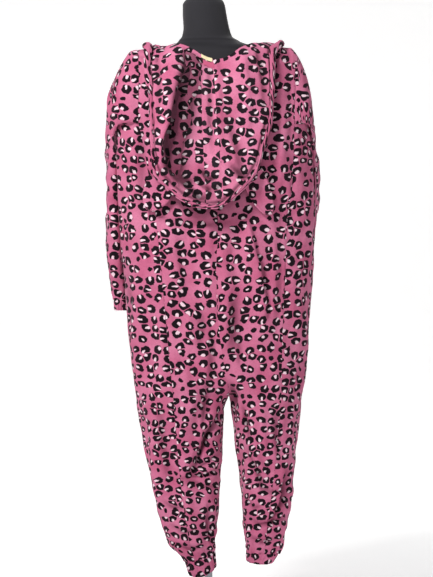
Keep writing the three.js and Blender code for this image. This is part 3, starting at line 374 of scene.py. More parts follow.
# Creases of the front, which the photograph doesn't show
FRONT_CREASES = strokes("""
left right height path
8  12 -5   -60,1010 -52,900 -58,780
12 7  5    -84,1010 -74,900 -80,780
8  8  -4   96,1100 104,980 98,860
7  7  -5   40,640 -10,560 -60,520
7  7  -5   72,640 120,565 175,530
6  6  -4   -150,420 -90,392 -30,400
6  6  -4   -120,330 -70,310 -20,325
6  6  -4   100,420 150,398 215,410
6  6  -4   110,320 150,300 205,312
8  8  -4   -140,1330 -120,1260 -90,1200
8  8  -4   180,1330 160,1260 130,1200
""")

# Creases of the hood's lining behind
HOOD_CREASES = strokes("""
left right height path
12 34 -24  -50,1500 -56,1420 -68,1360 -86,1308 -97,1264 -95,1215 -84,1180
9  14 7    -40,1500 -48,1420 -58,1350 -70,1290
7  9  -8   -32,1182 -12,1154 12,1143 37,1162
6  8  -7   -21,1204 1,1176 26,1182
8  8  7    -26,1165 -1,1140 29,1149
7  7  -6   -70,1176 -45,1150 -20,1128 10,1124
8  10 -6   48,1347 76,1264 87,1187
7  9  -6   60,1216 84,1186 104,1180
10 10 5    87,1470 103,1374 106,1278
7  10 -7   120,1512 136,1443 147,1380 150,1320
8  8  -4   -139,1484 -133,1402 -125,1333
6  8  -6   -111,1215 -78,1182 -34,1165
6  8  -5   -161,1512 -164,1443 -161,1374
9  9  5    22,1440 30,1340 34,1240
7  8  -5   2,1430 6,1330 10,1250
""")


def lerp(a, b, t):
    return a + (b - a) * t


def smooth(t):
    t = np.clip(t, 0, 1)
    return t * t * (3 - 2 * t)


def curve(rows, name, key, at):
    """One column of a table by a smooth curve through its rows that adds no bumps."""
    keys, values = rows[key], rows[name]
    if keys[0] > keys[-1]:
        keys, values = keys[::-1], values[::-1]
    span = np.diff(keys)
    slope = np.diff(values) / span
    before, after = slope[:-1], slope[1:]
    turning = before * after > 0
    inner = np.where(turning, 2 * before * after / np.where(turning, before + after, 1), 0)
    tangent = np.concatenate([slope[:1], inner, slope[-1:]])
    at = np.clip(np.asarray(at, float), keys[0], keys[-1])
    k = np.clip(np.searchsorted(keys, at, side="right") - 1, 0, len(span) - 1)
    t = (at - keys[k]) / span[k]
    start = (1 + 2 * t) * (1 - t) ** 2 * values[k] + t * (1 - t) ** 2 * span[k] * tangent[k]
    end = t * t * (3 - 2 * t) * values[k + 1] + t * t * (t - 1) * span[k] * tangent[k + 1]
    return start + end


def tube(side, z):
    """Centre, outer and inner reach, depth behind and in front, and tilt of one side's tube."""
    z = np.asarray(z, float)
    high, low = np.maximum(z, CROTCH_Z), np.minimum(z, CROTCH_Z)
    leg, crotch = LEGS[side], TRUNK["centre"][-1]
    above = z >= CROTCH_Z
    centre = curve(TRUNK, "centre", "z", high)
    outer = side * (curve(TRUNK, "left" if side == LEFT else "right", "z", high) - centre)
    closed = np.clip((CROTCH_TOP_Z - high) / (CROTCH_TOP_Z - CROTCH_Z), 0, 1)
    inner = lerp(-outer, CROTCH_SPREAD, closed)
    depth = curve(leg, "depth", "z", low)
    return (
        np.where(above, centre, crotch),
        np.where(above, outer, side * (curve(leg, "outer", "z", low) - crotch)),
        np.where(above, inner, side * (curve(leg, "inner", "z", low) - crotch)),
        np.where(above, curve(TRUNK, "back", "z", high), depth),
        np.where(above, curve(TRUNK, "front", "z", high), depth),
        np.where(above, 0, curve(leg, "tilt", "z", low)),
    )


def fold_height(face, x, z):
    height = np.zeros(np.broadcast(x, z).shape)
    for k in range(len(FOLDS["face"])):
        fold = {name: values[k] for name, values in FOLDS.items()}
        t = (fold["topZ"] - z) / (fold["topZ"] - fold["endZ"])
        inside = (t > 0) & (t < 1) & (face == fold["face"])
        t = np.clip(t, 1e-9, 1 - 1e-9)
        away = (x - lerp(fold["topX"], fold["endX"], t)) / fold["width"]
        height += np.where(inside, fold["height"] * np.sin(np.pi * t) ** 0.7 * np.exp(-away * away), 0)
    return height


def tube_point(side, z, angle):
    """A point of the trunk or a leg: angle 0 at the inner edge, a quarter turn behind."""
    z = np.broadcast_to(np.asarray(z, float), np.shape(angle))
    centre, outer, inner, back, front, tilt = tube(side, z)
    middle, reach = (outer + inner) / 2, (outer - inner) / 2
    x = centre + side * (middle - reach * np.cos(angle))
    sine = np.sin(angle)
    face = np.where(sine > 0, BACK, FRONT)
    depth = np.where(face == BACK, back, front)
    bottom = CUFFS[side][0]
    gather = np.where(z < CROTCH_Z, np.clip(1 - (z - bottom) / LEG_GATHER_FADE, 0, 1), 0)
    wave = LEG_GATHER_HEIGHT * gather * np.cos(LEG_GATHERS * angle * 2)
    out = depth + fold_height(face, x, z) + wave
    return np.stack([x, face * out * np.abs(sine) ** FULLNESS, z + tilt * np.cos(angle)], -1)


def edge_angle(side, z, gap):
    _, outer, inner, back, _, _ = tube(side, z)
    middle, reach = (outer + inner) / 2, (outer - inner) / 2
    least = np.arcsin((SEAM / 2 / back) ** (1 / FULLNESS))
    return np.arccos(np.minimum((middle - gap) / reach, np.cos(least)))


def seam_angle(side, z):
    centre, outer, inner, _, _, _ = tube(side, z)
    middle, reach = (outer + inner) / 2, (outer - inner) / 2
    across = side * (curve(SIDE_SEAMS, "left" if side == LEFT else "right", "z", z) - centre)
    return np.arccos(np.clip((middle - across) / reach, -0.98, 0.98))


def shoulder_point(side, face, across, rise):
    """A point between the armholes' level (rise 0) and the shoulder seam (rise 1)."""
    centre = TRUNK["centre"][0]
    outer = np.where(side < 0, centre - TRUNK["left"][0], TRUNK["right"][0] - centre)
    x = centre + side * across
    swell = (1 - np.minimum(1, across / outer) ** 2) ** (FULLNESS / 2)
    depth = np.where(face == BACK, TRUNK["back"][0], TRUNK["front"][0]) * swell
    full = lerp(FULLNESS, SHOULDER_FULLNESS, smooth(across / SHOULDER_BLEND))
    turn = np.clip(rise, 0, 1) * np.pi / 2
    climb = (curve(CREST, "z", "x", x) - ARMHOLE_Z) * np.sin(turn) ** full
    y = face * depth * np.maximum(np.cos(turn), 0) ** full
    return np.stack(np.broadcast_arrays(x, y, ARMHOLE_Z + climb), -1)


def neck_rise(point, face, across):
    share = np.clip(across / point, 0, 1)
    return lerp(np.where(face == BACK, NECK_RISE[BACK], NECK_RISE[FRONT]), 1, share**NECK_CURVE)


def place_on_body(x, along):
    """A place on the body by its x and its height up the back, over the shoulder and down the front."""
    x, along = np.broadcast_arrays(np.asarray(x, float), np.asarray(along, float))
    z = np.minimum(along, ARMHOLE_Z)
    centre = curve(TRUNK, "centre", "z", z)
    side = np.where(x < centre, LEFT, RIGHT)
    edge = np.where(side == LEFT, curve(TRUNK, "left", "z", z), curve(TRUNK, "right", "z", z))
    share = np.clip((x - centre) / (edge - centre), 0, 0.98)
    swell = (1 - share**2) ** (FULLNESS / 2)
    low_x = centre + share * (edge - centre)
    depth = curve(TRUNK, "back", "z", z) + fold_height(BACK, low_x, z)
    low = np.stack([low_x, -depth * swell, z], -1)
    crest = ARMHOLE_Z + SHOULDER_ARC
    face = np.where(along <= crest, BACK, FRONT)
    rise = np.where(face == BACK, (along - ARMHOLE_Z) / SHOULDER_ARC, 1 - (along - crest) / SHOULDER_ARC)
    middle = TRUNK["centre"][0]
    side = np.where(x < middle, LEFT, RIGHT)
    high = shoulder_point(side, face, side * (x - middle), rise)
    return np.where(((along < ARMHOLE_Z))[..., None], low, high)


def unit(vectors):
    return vectors / np.maximum(np.linalg.norm(vectors, axis=-1, keepdims=True), 1e-9)


def outward_at(x, along):
    step = 12.0
    right = place_on_body(x + step, along) - place_on_body(x - step, along)
    up = place_on_body(x, along + step) - place_on_body(x, along - step)
    return unit(np.cross(right, up))


def neck_place(turn):
    side = np.where(turn < 0, LEFT, RIGHT)
    face = np.where(np.abs(turn) <= 0.5, BACK, FRONT)
    share = np.where(face == BACK, np.abs(turn) / 0.5, (1 - np.abs(turn)) / 0.5)
    point = np.where(side == LEFT, NECK_POINT[LEFT], NECK_POINT[RIGHT])
    across = np.maximum(np.where(face == FRONT, ZIP_SLOT, 0), share * point)
    rise = neck_rise(point, face, across)
    crest = ARMHOLE_Z + SHOULDER_ARC
    along = np.where(face == BACK, ARMHOLE_Z + rise * SHOULDER_ARC, crest + (1 - rise) * SHOULDER_ARC)
    return TRUNK["centre"][0] + side * across, along


def pleat_height(x, along):
    away = x - curve(PLEAT, "x", "along", along)
    width = np.where(away > 0, PLEAT_STEEP, PLEAT_GENTLE)
    return curve(PLEAT, "height", "along", along) * np.exp(-((away / width) ** 2))


def hood_point(turn, share):
    """A point of the hood at a turn round the neck and a share of the way from neckline to rim."""
    turn, share = np.broadcast_arrays(np.asarray(turn, float), np.asarray(share, float))
    neck_x, neck_along = neck_place(turn)
    rim_x, rim_along, rim_lift = (curve(RIM, name, "turn", turn) for name in ("x", "along", "lift"))
    pouch = 1 - smooth(np.abs(turn - POUCH_MIDDLE) / POUCH_TURN)
    gone = 1 - (1 - share) ** (1 + 0.6 * pouch)
    x, along = lerp(neck_x, rim_x, gone), lerp(neck_along, rim_along, gone)
    middle = np.exp(-(((turn - POUCH_MIDDLE) / HOOD_SEWN_REACH) ** 2))
    low = lerp(lerp(HOOD_SEAT, HOOD_SEWN_LIFT, middle), HOOD_FLOAT, smooth(share * 7))
    lift = low + (rim_lift - low) * share ** lerp(1.6, 4.5, pouch)
    pleat = np.where(np.abs(turn) < 0.5, pleat_height(x, along) * np.sin(np.pi * share) ** 0.5, 0)
    return place_on_body(x, along) + outward_at(x, along) * (lift + pleat)[..., None]


# Relief


CREASE_DEPTH, LEG_CREASE_DEPTH = 1.4, 1.95
# crease depth at which the painted shade is full, and the fade length of the painted shadow below the hood's rim
PAINTED_SHADE_DEPTH = 15.0
RIM_PAINTED_SHADOW = 32.0
LEG_PRINT = 1.18


def relief(creases, x, z):
    """Height of the listed creases at places given by their x and z."""
    height = np.zeros(x.shape)
    for left, right, peak, path in creases:
        reach = 2.6 * max(left, right)
        near = (
            (x > path[:, 0].min() - reach)
            & (x < path[:, 0].max() + reach)
            & (z > path[:, 1].min() - reach)
            & (z < path[:, 1].max() + reach)
        )
        if not near.any():
            continue
        px, pz = x[near], z[near]
        best, signed, gone = np.full(px.shape, 1e9), np.zeros(px.shape), np.zeros(px.shape)
        lengths = np.linalg.norm(np.diff(path, axis=0), axis=1)
        total, start = lengths.sum(), 0.0
        for (ax, az), (bx, bz), length in zip(path[:-1], path[1:], lengths):
            dx, dz = (bx - ax) / length, (bz - az) / length
            t = np.clip((px - ax) * dx + (pz - az) * dz, 0, length)
            ox, oz = px - ax - t * dx, pz - az - t * dz
            away = np.hypot(ox, oz)
            closer = away < best
            best = np.where(closer, away, best)
            # a path runs downwards, so its left as seen from behind is on the viewer's left
            signed = np.where(closer, ox * -dz + oz * dx, signed)
            gone = np.where(closer, (start + t) / total, gone)
            start += length
        width = np.where(signed < 0, left, right)
        taper = np.sin(np.pi * np.clip(gone, 0.02, 0.98)) ** 0.6
        height[near] += peak * taper * np.exp(-((best / width) ** 2))
    return height


def waves(u, v, seed, count, across, down, height):
    """Soft uneven hills: wavelengths across and down the cloth, and their root mean square height."""
    rng = np.random.default_rng(seed)
    total = np.zeros(u.shape)
    warp_u = 14 * np.sin(v / 83 + seed) + 9 * np.sin(v / 37 + 2 * seed)
    warp_v = 16 * np.sin(u / 91 + seed)
    for _ in range(count):
        long_u = across * rng.uniform(0.7, 1.6)
        long_v = down * rng.uniform(0.7, 1.8) * rng.choice([-1, 1])
        phase = rng.uniform(0, 2 * np.pi)
        total += np.sin(2 * np.pi * ((u + warp_u) / long_u + (v + warp_v) / long_v) + phase)
    total *= height / math.sqrt(count / 2)
    return total


def grid_normals(points, closed=False):
    """Normals of a grid of points; a place with no cloth is nan."""
    grid = np.concatenate([points, points[:, :1]], 1) if closed else points
    cross = np.cross(grid[1:, 1:] - grid[:-1, :-1], grid[:-1, 1:] - grid[1:, :-1])
    cross = np.nan_to_num(cross)
    normals = np.zeros(grid.shape)
    for r, c in ((0, 0), (0, 1), (1, 0), (1, 1)):
        rows, columns = cross.shape[:2]
        normals[r : r + rows, c : c + columns] += cross
    if closed:
        normals[:, 0] += normals[:, -1]
        normals = normals[:, :-1]
    return unit(normals)


def arcs(points, axis):
    """Length along the rows (axis 1) or columns (axis 0) from the first point, nan skipped."""
    steps = np.nan_to_num(np.linalg.norm(np.diff(points, axis=axis), axis=-1))
    start = np.zeros_like(np.take(steps, [0], axis=axis))
    return np.concatenate([start, np.cumsum(steps, axis=axis)], axis)


def develop(points, chart, first):
    """Cloth coordinates: a chart's steps, each as long as the cloth's own, from column `first` outwards."""
    out = np.zeros(chart.shape)

    def steps(a, b, ca, cb):
        flat = cb - ca
        length = np.linalg.norm(np.nan_to_num(b - a), axis=-1, keepdims=True)
        scale = length / np.maximum(np.linalg.norm(flat, axis=-1, keepdims=True), 1e-6)
        return flat * np.clip(scale, 0.6, 3)

    down = steps(points[:-1, first], points[1:, first], chart[:-1, first], chart[1:, first])
    out[1:, first] = np.cumsum(down, 0)
    right = steps(points[:, first:-1], points[:, first + 1 :], chart[:, first:-1], chart[:, first + 1 :])
    out[:, first + 1 :] = out[:, first : first + 1] + np.cumsum(right, 1)
    if first:
        left = steps(points[:, first:0:-1], points[:, first - 1 :: -1], chart[:, first:0:-1], chart[:, first - 1 :: -1])
        out[:, first - 1 :: -1] = out[:, first : first + 1] + np.cumsum(left, 1)
    return out


def tube_chart(points, base):
    """Print coordinates of a bent tube: its base column as seen from behind, with the rings square to it."""
    points = np.concatenate([points, points[:, :1]], 1)
    line = points[:, base]
    steps = np.diff(line, axis=0)
    way = unit(np.gradient(line, axis=0))
    flat = unit(way[:, [0, 2]])
    aside = np.stack([-flat[:, 1], flat[:, 0]], -1)
    out = np.zeros(points.shape[:2] + (2,))
    middle = unit(flat[1:] + flat[:-1])
    out[1:, base] = np.cumsum(middle * np.linalg.norm(steps, axis=-1, keepdims=True), 0)
    ring = np.diff(points, axis=1)
    along = (ring * way[:, None]).sum(-1, keepdims=True)
    square = np.sqrt(np.maximum((ring**2).sum(-1, keepdims=True) - along**2, 0))
    moves = along * flat[:, None] + square * aside[:, None]
    out[:, base + 1 :] = out[:, base : base + 1] + np.cumsum(moves[:, base:], 1)
    out[:, :base] = out[:, base : base + 1] - np.cumsum(moves[:, :base][:, ::-1], 1)[:, ::-1]
    return out


# Meshes


def mesh_object(name, vertices, faces, uv=None, material=None, body="onesie", nodes=(), slot=None, painted_shade=None):
    """An object from millimetre points and faces, riding a body and standing for CAD nodes."""
    mesh = bpy.data.meshes.new(name)
    mesh.from_pydata((np.asarray(vertices) / 1000).tolist(), [], [list(map(int, f)) for f in faces])
    if uv is not None:
        layer = mesh.uv_layers.new(name="cloth")
        loops = np.empty(len(mesh.loops), dtype=np.int32)
        mesh.loops.foreach_get("vertex_index", loops)
        layer.data.foreach_set("uv", (np.asarray(uv)[loops] / 1000).astype(np.float32).ravel())
    # painted shade kept on each point, which the fleece print reads to darken its colour
    if painted_shade is not None:
        mesh.attributes.new("painted_shade", "FLOAT", "POINT").data.foreach_set("value", painted_shade.astype(np.float32))
    mesh.validate()
    mesh.shade_smooth()
    obj = bpy.data.objects.new(name, mesh)
    bpy.context.scene.collection.objects.link(obj)
    if material:
        mesh.materials.append(material)
    if body:
        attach(obj, body)
    if nodes:
        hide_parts(*nodes)
    return obj


def grid_faces(shape, closed=False, missing=None, flip=False):
    rows, columns = shape
    number = np.arange(rows * columns).reshape(rows, columns)
    if closed:
        number = np.concatenate([number, number[:, :1]], 1)
    a, b = number[:-1, :-1], number[1:, :-1]
    c, d = number[1:, 1:], number[:-1, 1:]
    faces = np.stack([a, b, c, d] if not flip else [a, d, c, b], -1).reshape(-1, 4)
    if missing is not None:
        faces = faces[~missing.ravel()[faces].any(1)]
    return faces


def cloth_object(name, points, uv, outward, thick=FLEECE, closed=False, painted_shade=None, **options):
    """A thin shell of cloth whose outside is a grid of points."""
    normals = grid_normals(points, closed)
    flip = np.nansum(normals * outward) < 0
    missing = np.isnan(points[..., 0])
    faces = grid_faces(points.shape[:2], closed, missing, flip)
    flat, flat_uv = np.nan_to_num(points.reshape(-1, 3)), uv.reshape(-1, 2)
    if closed:
        # the print has one more column than the mesh, so that it has a seam
        rows, columns = points.shape[:2]
        mesh_faces = grid_faces((rows, columns), True, None, flip)
        obj = mesh_object(name, points.reshape(-1, 3), mesh_faces, None, **options)
        layer = obj.data.uv_layers.new(name="cloth")
        order = grid_faces((rows, columns + 1), False, None, flip)
        layer.data.foreach_set("uv", (uv.reshape(-1, 2)[order].reshape(-1) / 1000).astype(np.float32))
    else:
        used = np.unique(faces)
        renumber = np.full(len(flat), -1)
        renumber[used] = np.arange(len(used))
        # the painted shade of the points that are kept
        painted_shade_points = None if painted_shade is None else np.nan_to_num(painted_shade.ravel())[used]
        obj = mesh_object(name, flat[used], renumber[faces], flat_uv[used], painted_shade=painted_shade_points, **options)
    shell = obj.modifiers.new("thickness", "SOLIDIFY")
    shell.thickness = thick / 1000
    shell.offset = -1
    shell.use_even_offset = False
    obj.modifiers.new("cut edges", "EDGE_SPLIT").split_angle = CUT_EDGE
    return obj


def edge_fade(distance, reach=16.0):
    return smooth(distance / reach)


def seam_roll(distance, along, seed):
    """The cloth turns in at a seam, with small puckers beside it."""
    pucker = np.sin(along / 7.5 + 2.3 * np.sin(along / 31 + seed)) + 0.7 * np.sin(along / 4.6 + seed)
    return -0.8 * np.exp(-((distance / 4) ** 2)) + 0.4 * pucker * np.exp(-((distance / 9) ** 2))


# Panels of the trunk and legs


def levels(side):
    bottom = CUFFS[side][0] + SEAM
    return np.linspace(ARMHOLE_Z, bottom, int((ARMHOLE_Z - bottom) / STEP) + 1)


def back_grid(side):
    columns = 58
    t = np.linspace(0, 1, columns)
    angle = lerp(edge_angle(side, ARMHOLE_Z, SEAM / 2), seam_angle(side, ARMHOLE_Z), t)
    shares = np.cos(angle) / np.cos(angle[-1])
    rises = np.linspace(1, 0, 54)[:-1, None]
    across = np.maximum(SEAM / 2, shares * curve(ARMHOLES[side], "back", "rise", rises))
    edge = curve(ARMHOLES[side], "back", "rise", 1)
    top = np.minimum(neck_rise(NECK_POINT[side], BACK, shares * edge), 1 - SEAM / 2 / SHOULDER_ARC)
    upper = shoulder_point(side, BACK, across, rises * top)
    z = levels(side)
    start = edge_angle(side, z, -SEAM / 2)
    end = seam_angle(side, z) - SEAM / 2 / tube(side, z)[3]
    lower = tube_point(side, z[:, None], lerp(start[:, None], end[:, None], t))
    return np.concatenate([upper, lower]), len(rises)


def front_grid(side):
    chest_columns, wrap_columns = 44, 56
    gap = lambda z: np.where(z > ZIP_END_Z, ZIP_SLOT / 2, SEAM / 2)
    outer = tube(side, ARMHOLE_Z)[1]
    edge = lambda rise: curve(ARMHOLES[side], "front", "rise", rise)
    front_end = 2 * np.pi - np.arccos(-edge(0) / outer)
    zip_edge = 2 * np.pi - edge_angle(side, ARMHOLE_Z, gap(ARMHOLE_Z))
    seam_end = seam_angle(side, ARMHOLE_Z)
    chest = (zip_edge - front_end) / (zip_edge - seam_end)
    shares = np.concatenate(
        [np.linspace(0, chest, chest_columns + 1), np.linspace(chest, 1, wrap_columns + 1)[1:]]
    )
    angle = np.linspace(zip_edge, front_end, chest_columns + 1)
    share = np.cos(angle) / np.cos(front_end)
    rises = np.linspace(1, 0, 54)[:-1, None]
    across = np.maximum(ZIP_SLOT / 2, share * edge(rises))
    top = np.minimum(neck_rise(NECK_POINT[side], FRONT, share * edge(1)), 1 - SEAM / 2 / SHOULDER_ARC)
    upper = shoulder_point(side, FRONT, across, rises * top)
    blank = np.full((len(rises), wrap_columns, 3), np.nan)
    z = levels(side)
    start = 2 * np.pi - edge_angle(side, z, gap(z))
    end = seam_angle(side, z) + SEAM / 2 / tube(side, z)[3]
    lower = tube_point(side, z[:, None], lerp(start[:, None], end[:, None], shares))
    return np.concatenate([np.concatenate([upper, blank], 1), lower]), len(rises), chest_columns


def dress_panel(points, upper, chest, seed):
    """Adds creases, soft hills, seams and gathers to a panel, paints shade into its creases and under the hood's rim,
    and measures each point's reach to the side seam.

    Rows above `upper` belong to the shoulder and end at column `chest`, at the armhole.
    """
    y = points[..., 1]
    z = np.nan_to_num(points[..., 2])
    across = arcs(points * [1, 1, 0], 1)
    down = arcs(points, 0)
    width = across[:, -1:].copy()
    width[:upper] = across[:upper, chest : chest + 1]
    reach = width - across
    reach[:upper] += across[upper, -1] - across[upper, chest]
    edge = np.minimum(across, np.maximum(width - across, 0))
    seam = edge.copy()
    edge[:upper] = np.minimum(edge[:upper], down[:upper])
    arm = np.maximum(down - down[upper], 0)
    wrap = np.arange(points.shape[1]) > chest
    edge[upper:, wrap] = np.minimum(edge[upper:, wrap], arm[upper:, wrap])
    x = np.nan_to_num(points[..., 0])
    height = np.where(np.nan_to_num(y) < 0, relief(BODY_CREASES, x, z), relief(FRONT_CREASES, x, z))
    height *= lerp(CREASE_DEPTH, LEG_CREASE_DEPTH, smooth((760 - z) / 260))
    # painted shade: the colour darkens in the creases' troughs, the deeper the darker
    painted_shade = np.clip(-height / PAINTED_SHADE_DEPTH, 0, 1)
    soft = waves(reach, z, seed, 9, 78, 460, 1.7) + waves(reach, z, seed + 20, 8, 34, 90, 0.5)
    sag = waves(reach, z, seed + 40, 9, 300, 64, 1.2) * smooth((560 - z) / 260)
    gather = np.exp(-(z - z[-1].min()) / 26)
    ridges = waves(reach, z, seed + 60, 5, 15, 400, 1.7) * gather
    height += (soft + sag) * edge_fade(edge) + ridges * edge_fade(edge, 8)
    height += seam_roll(seam, z + reach * 0.4, seed)
    # the seam stays shut above the crotch
    shut = smooth((z - 556) / 30) * smooth((800 - z) / 50)
    height *= 1 - shut * (1 - smooth(across / 26))
    # painted shadow: the hood's rim darkens the colour of the back below it, fading downwards
    picked = (RIM["turn"] > -0.38) & (RIM["turn"] < 0.3)
    below = np.interp(x, RIM["x"][picked], RIM["along"][picked]) - z
    near_rim = smooth((x + 165) / 40) * smooth((180 - x) / 40) * (np.nan_to_num(y) < 0)
    painted_shade = np.maximum(painted_shade, 0.75 * near_rim * np.exp(-np.maximum(below, 0) / RIM_PAINTED_SHADOW))
    normals = grid_normals(points)
    normals *= np.sign(np.nansum(normals * points * [0.2, 1, 0]))
    return points + normals * height[..., None], reach, painted_shade


def panel_object(name, points, reach, painted_shade, upper, chest, seed):
    along = np.where(np.isnan(points[..., 2]), ARMHOLE_Z, points[..., 2])
    chart = np.stack([-reach, along], -1)
    # the legs' cloth is drawn together in fine folds, and its print with it
    drawn = lerp(1, LEG_PRINT, smooth((800 - along) / 300))[..., None]
    uv = np.zeros(chart.shape)
    uv[upper:] = develop(points[upper:], chart[upper:], points.shape[1] - 1)
    top = develop(points[: upper + 1], chart[: upper + 1], chest)
    uv[:upper] = (top - top[upper, chest] + uv[upper, chest])[:upper]
    steps = np.diff(uv[..., 1], axis=0) * drawn[1:, :, 0]
    uv[1:, :, 1] = uv[:1, :, 1] + np.cumsum(steps, 0)
    uv[..., 0] *= drawn[..., 0]
    uv += 370.0 * seed
    outward = np.nan_to_num(points) * [0.2, 1, 0]
    obj = cloth_object(f"{name}_cloth", points, uv, outward, painted_shade=painted_shade, material=FLEECE_PRINT, nodes=[name], slot="fleece_print")


# Sleeves and cuffs


def armhole_ring(side, back, front, upper, chest):
    out = np.array([side * ARMHOLE_SEAM, 0, 0])
    up = np.array([0, 0, ARMHOLE_SEAM])
    tip = (back[0, -1] + front[0, chest]) / 2
    under = (back[upper, -1] + front[upper, -1]) / 2
    ring = np.concatenate(
        [
            [tip + out],
            back[1:upper, -1] + out,
            [under + out + up],
            front[upper, -2:chest:-1] + up,
            [front[upper, chest] + out + up],
            front[upper - 1 : 0 : -1, chest] + out,
        ]
    )
    closed = np.concatenate([ring, ring[:1]])
    gone = np.concatenate([[0], np.cumsum(np.linalg.norm(np.diff(closed, axis=0), axis=1))])
    even = np.linspace(0, gone[-1], 97)[:-1]
    return np.stack([np.interp(even, gone, closed[:, k]) for k in range(3)], -1)


def sleeve_point(rows, at, share):
    row = {name: curve(rows, name, "row", at) for name in rows}
    angle = 2 * np.pi * share
    full = lambda value: np.sign(value) * np.abs(value) ** SLEEVE_FULLNESS
    y = row["middleY"] - row["halfY"] * full(np.sin(angle))
    t = (1 + full(np.cos(angle))) / 2
    x = lerp(row["innerX"], row["outerX"], t) + row["swing"] * (y - row["middleY"])
    z = lerp(row["innerZ"], row["outerZ"], t) + 0 * y
    return np.stack(np.broadcast_arrays(x, y, z), -1)


def body_reach(side, y, z):
    centre, outer, _, back, front, _ = tube(side, z)
    sine = np.minimum(1, np.abs(y) / np.where(y < 0, back, front)) ** (1 / FULLNESS)
    return centre + side * outer * np.sqrt(1 - sine**2)


def sleeve(side, ring, seed):
    rows = SLEEVES[side]
    fine = np.linspace(0, 13, 600)
    gone = np.concatenate([[0], np.cumsum(np.linalg.norm(np.diff(sleeve_point(rows, fine, 0.0), axis=0), axis=1))])
    at = np.interp(np.linspace(0, gone[-1], int(gone[-1] / STEP)), gone, fine)[:, None]
    share = np.arange(len(ring))[None] / len(ring)
    rest = ring - sleeve_point(rows, 0.0, share[0])
    keep = curve(ARMHOLE_FADE, "share", "row", at)
    points = sleeve_point(rows, at, share) + rest[None] * keep[..., None]
    least = body_reach(side, points[..., 1], points[..., 2]) + side * SLEEVE_CLEAR
    inside = side * (points[..., 0] - least) < 0
    near = smooth((ARMHOLE_Z + 6 - points[..., 2]) / 12)
    points[..., 0] = np.where(inside, lerp(points[..., 0], least, near), points[..., 0])
    down = arcs(points, 0)
    low = down[-1] - down
    around = arcs(points * [1, 1, 0], 1)
    around -= around[:, [len(ring) // 4]]
    clear = smooth(side * (points[..., 0] - least) / 14)
    soft = waves(around, low, seed, 9, 150, 330, 1.9) + waves(around, low, seed + 5, 8, 60, 80, 0.8)
    bend = waves(around, low, seed + 9, 6, 300, 58, 2.0) * np.exp(-(((low - 330) / 130) ** 2))
    cap = 1.1 * np.sin(arcs(points, 1) / 6.5 + 1.4 * np.sin(arcs(points, 1) / 23)) * np.exp(-down / 12)
    cap *= smooth((points[..., 2] - 1400) / 60)
    gather = waves(around, low, seed + 30, 6, 16, 500, 1.7) * np.exp(-low / 26)
    height = (soft + bend) * edge_fade(down, 22) * edge_fade(low, 22) * clear + (cap + gather) * clear
    points = points + grid_normals(points, True) * (side * -1 * height)[..., None] * sleeve_sign(points, side)
    points = np.roll(points, len(ring) // 2, 1)
    return points, tube_chart(points, 3 * len(ring) // 4) + 211.0 * seed


def sleeve_sign(points, side):
    """Turns the grid's own normals outwards."""
    middle = points.mean(1, keepdims=True)
    towards = (grid_normals(points, True) * (points - middle)).sum()
    return -side if towards > 0 else side


def cuff_object(name, point_at, gathers, seed):
    """An elastic hem: a short tube with uneven gathers and a roll at its lower edge."""
    count = 150
    share = np.arange(count)[None] / count
    down = np.linspace(0, 1, 14)[:, None]
    swell = gathers * np.cos(2 * np.pi * CUFF_GATHERS * share + 0.5 * np.sin(2 * np.pi * 2 * share + seed))
    swell = swell * lerp(0.4, 1, down) + 0.7 * np.sin(2 * np.pi * 23 * share + 3 * down + seed)
    swell = swell - 1.4 * np.exp(-((down / 0.12) ** 2)) - 1.2 * smooth((down - 0.82) / 0.18)
    points = point_at(down, share, swell)
    middle = points.mean((0, 1))
    uv = tube_chart(points, count // 4) + 97.0 * seed
    outward = (points - middle) * [1, 1, 0]
    obj = cloth_object(
        f"{name}_cloth", points, uv, outward, closed=True, material=FLEECE_PRINT, nodes=[name], slot="fleece_print"
    )
    return obj


def wrist_point(side):
    rows = SLEEVES[side]

    def point_at(down, share, swell):
        points = sleeve_point(rows, 13 + down, share)
        middle = points.mean(1, keepdims=True)
        out = unit((points - middle) * [1, 1, 0])
        points = points + out * swell[..., None]
        points[..., 2] -= SEAM * (1 - down)
        return points

    return point_at


def ankle_point(side):
    top, bottom, sag = CUFFS[side]

    def point_at(down, share, swell):
        z = lerp(top, bottom, down)
        angle = 2 * np.pi * share
        centre, outer, inner, depth, _, tilt = tube(side, z)
        sine = np.sin(angle)
        x = centre + side * ((outer + inner) / 2 - ((outer - inner) / 2 + swell) * np.cos(angle))
        y = -np.sign(sine) * np.abs(sine) ** FULLNESS * (depth + swell)
        return np.stack(np.broadcast_arrays(x, y, z + tilt * np.cos(angle) - sag * down * sine * sine), -1)

    return point_at


# Materials


def linear(colour):
    """Linear RGBA from sRGB 0 to 255."""
    out = []
    for v in colour:
        v /= 255
        out.append(v / 12.92 if v <= 0.04045 else ((v + 0.055) / 1.055) ** 2.4)
    return (*out, 1.0)


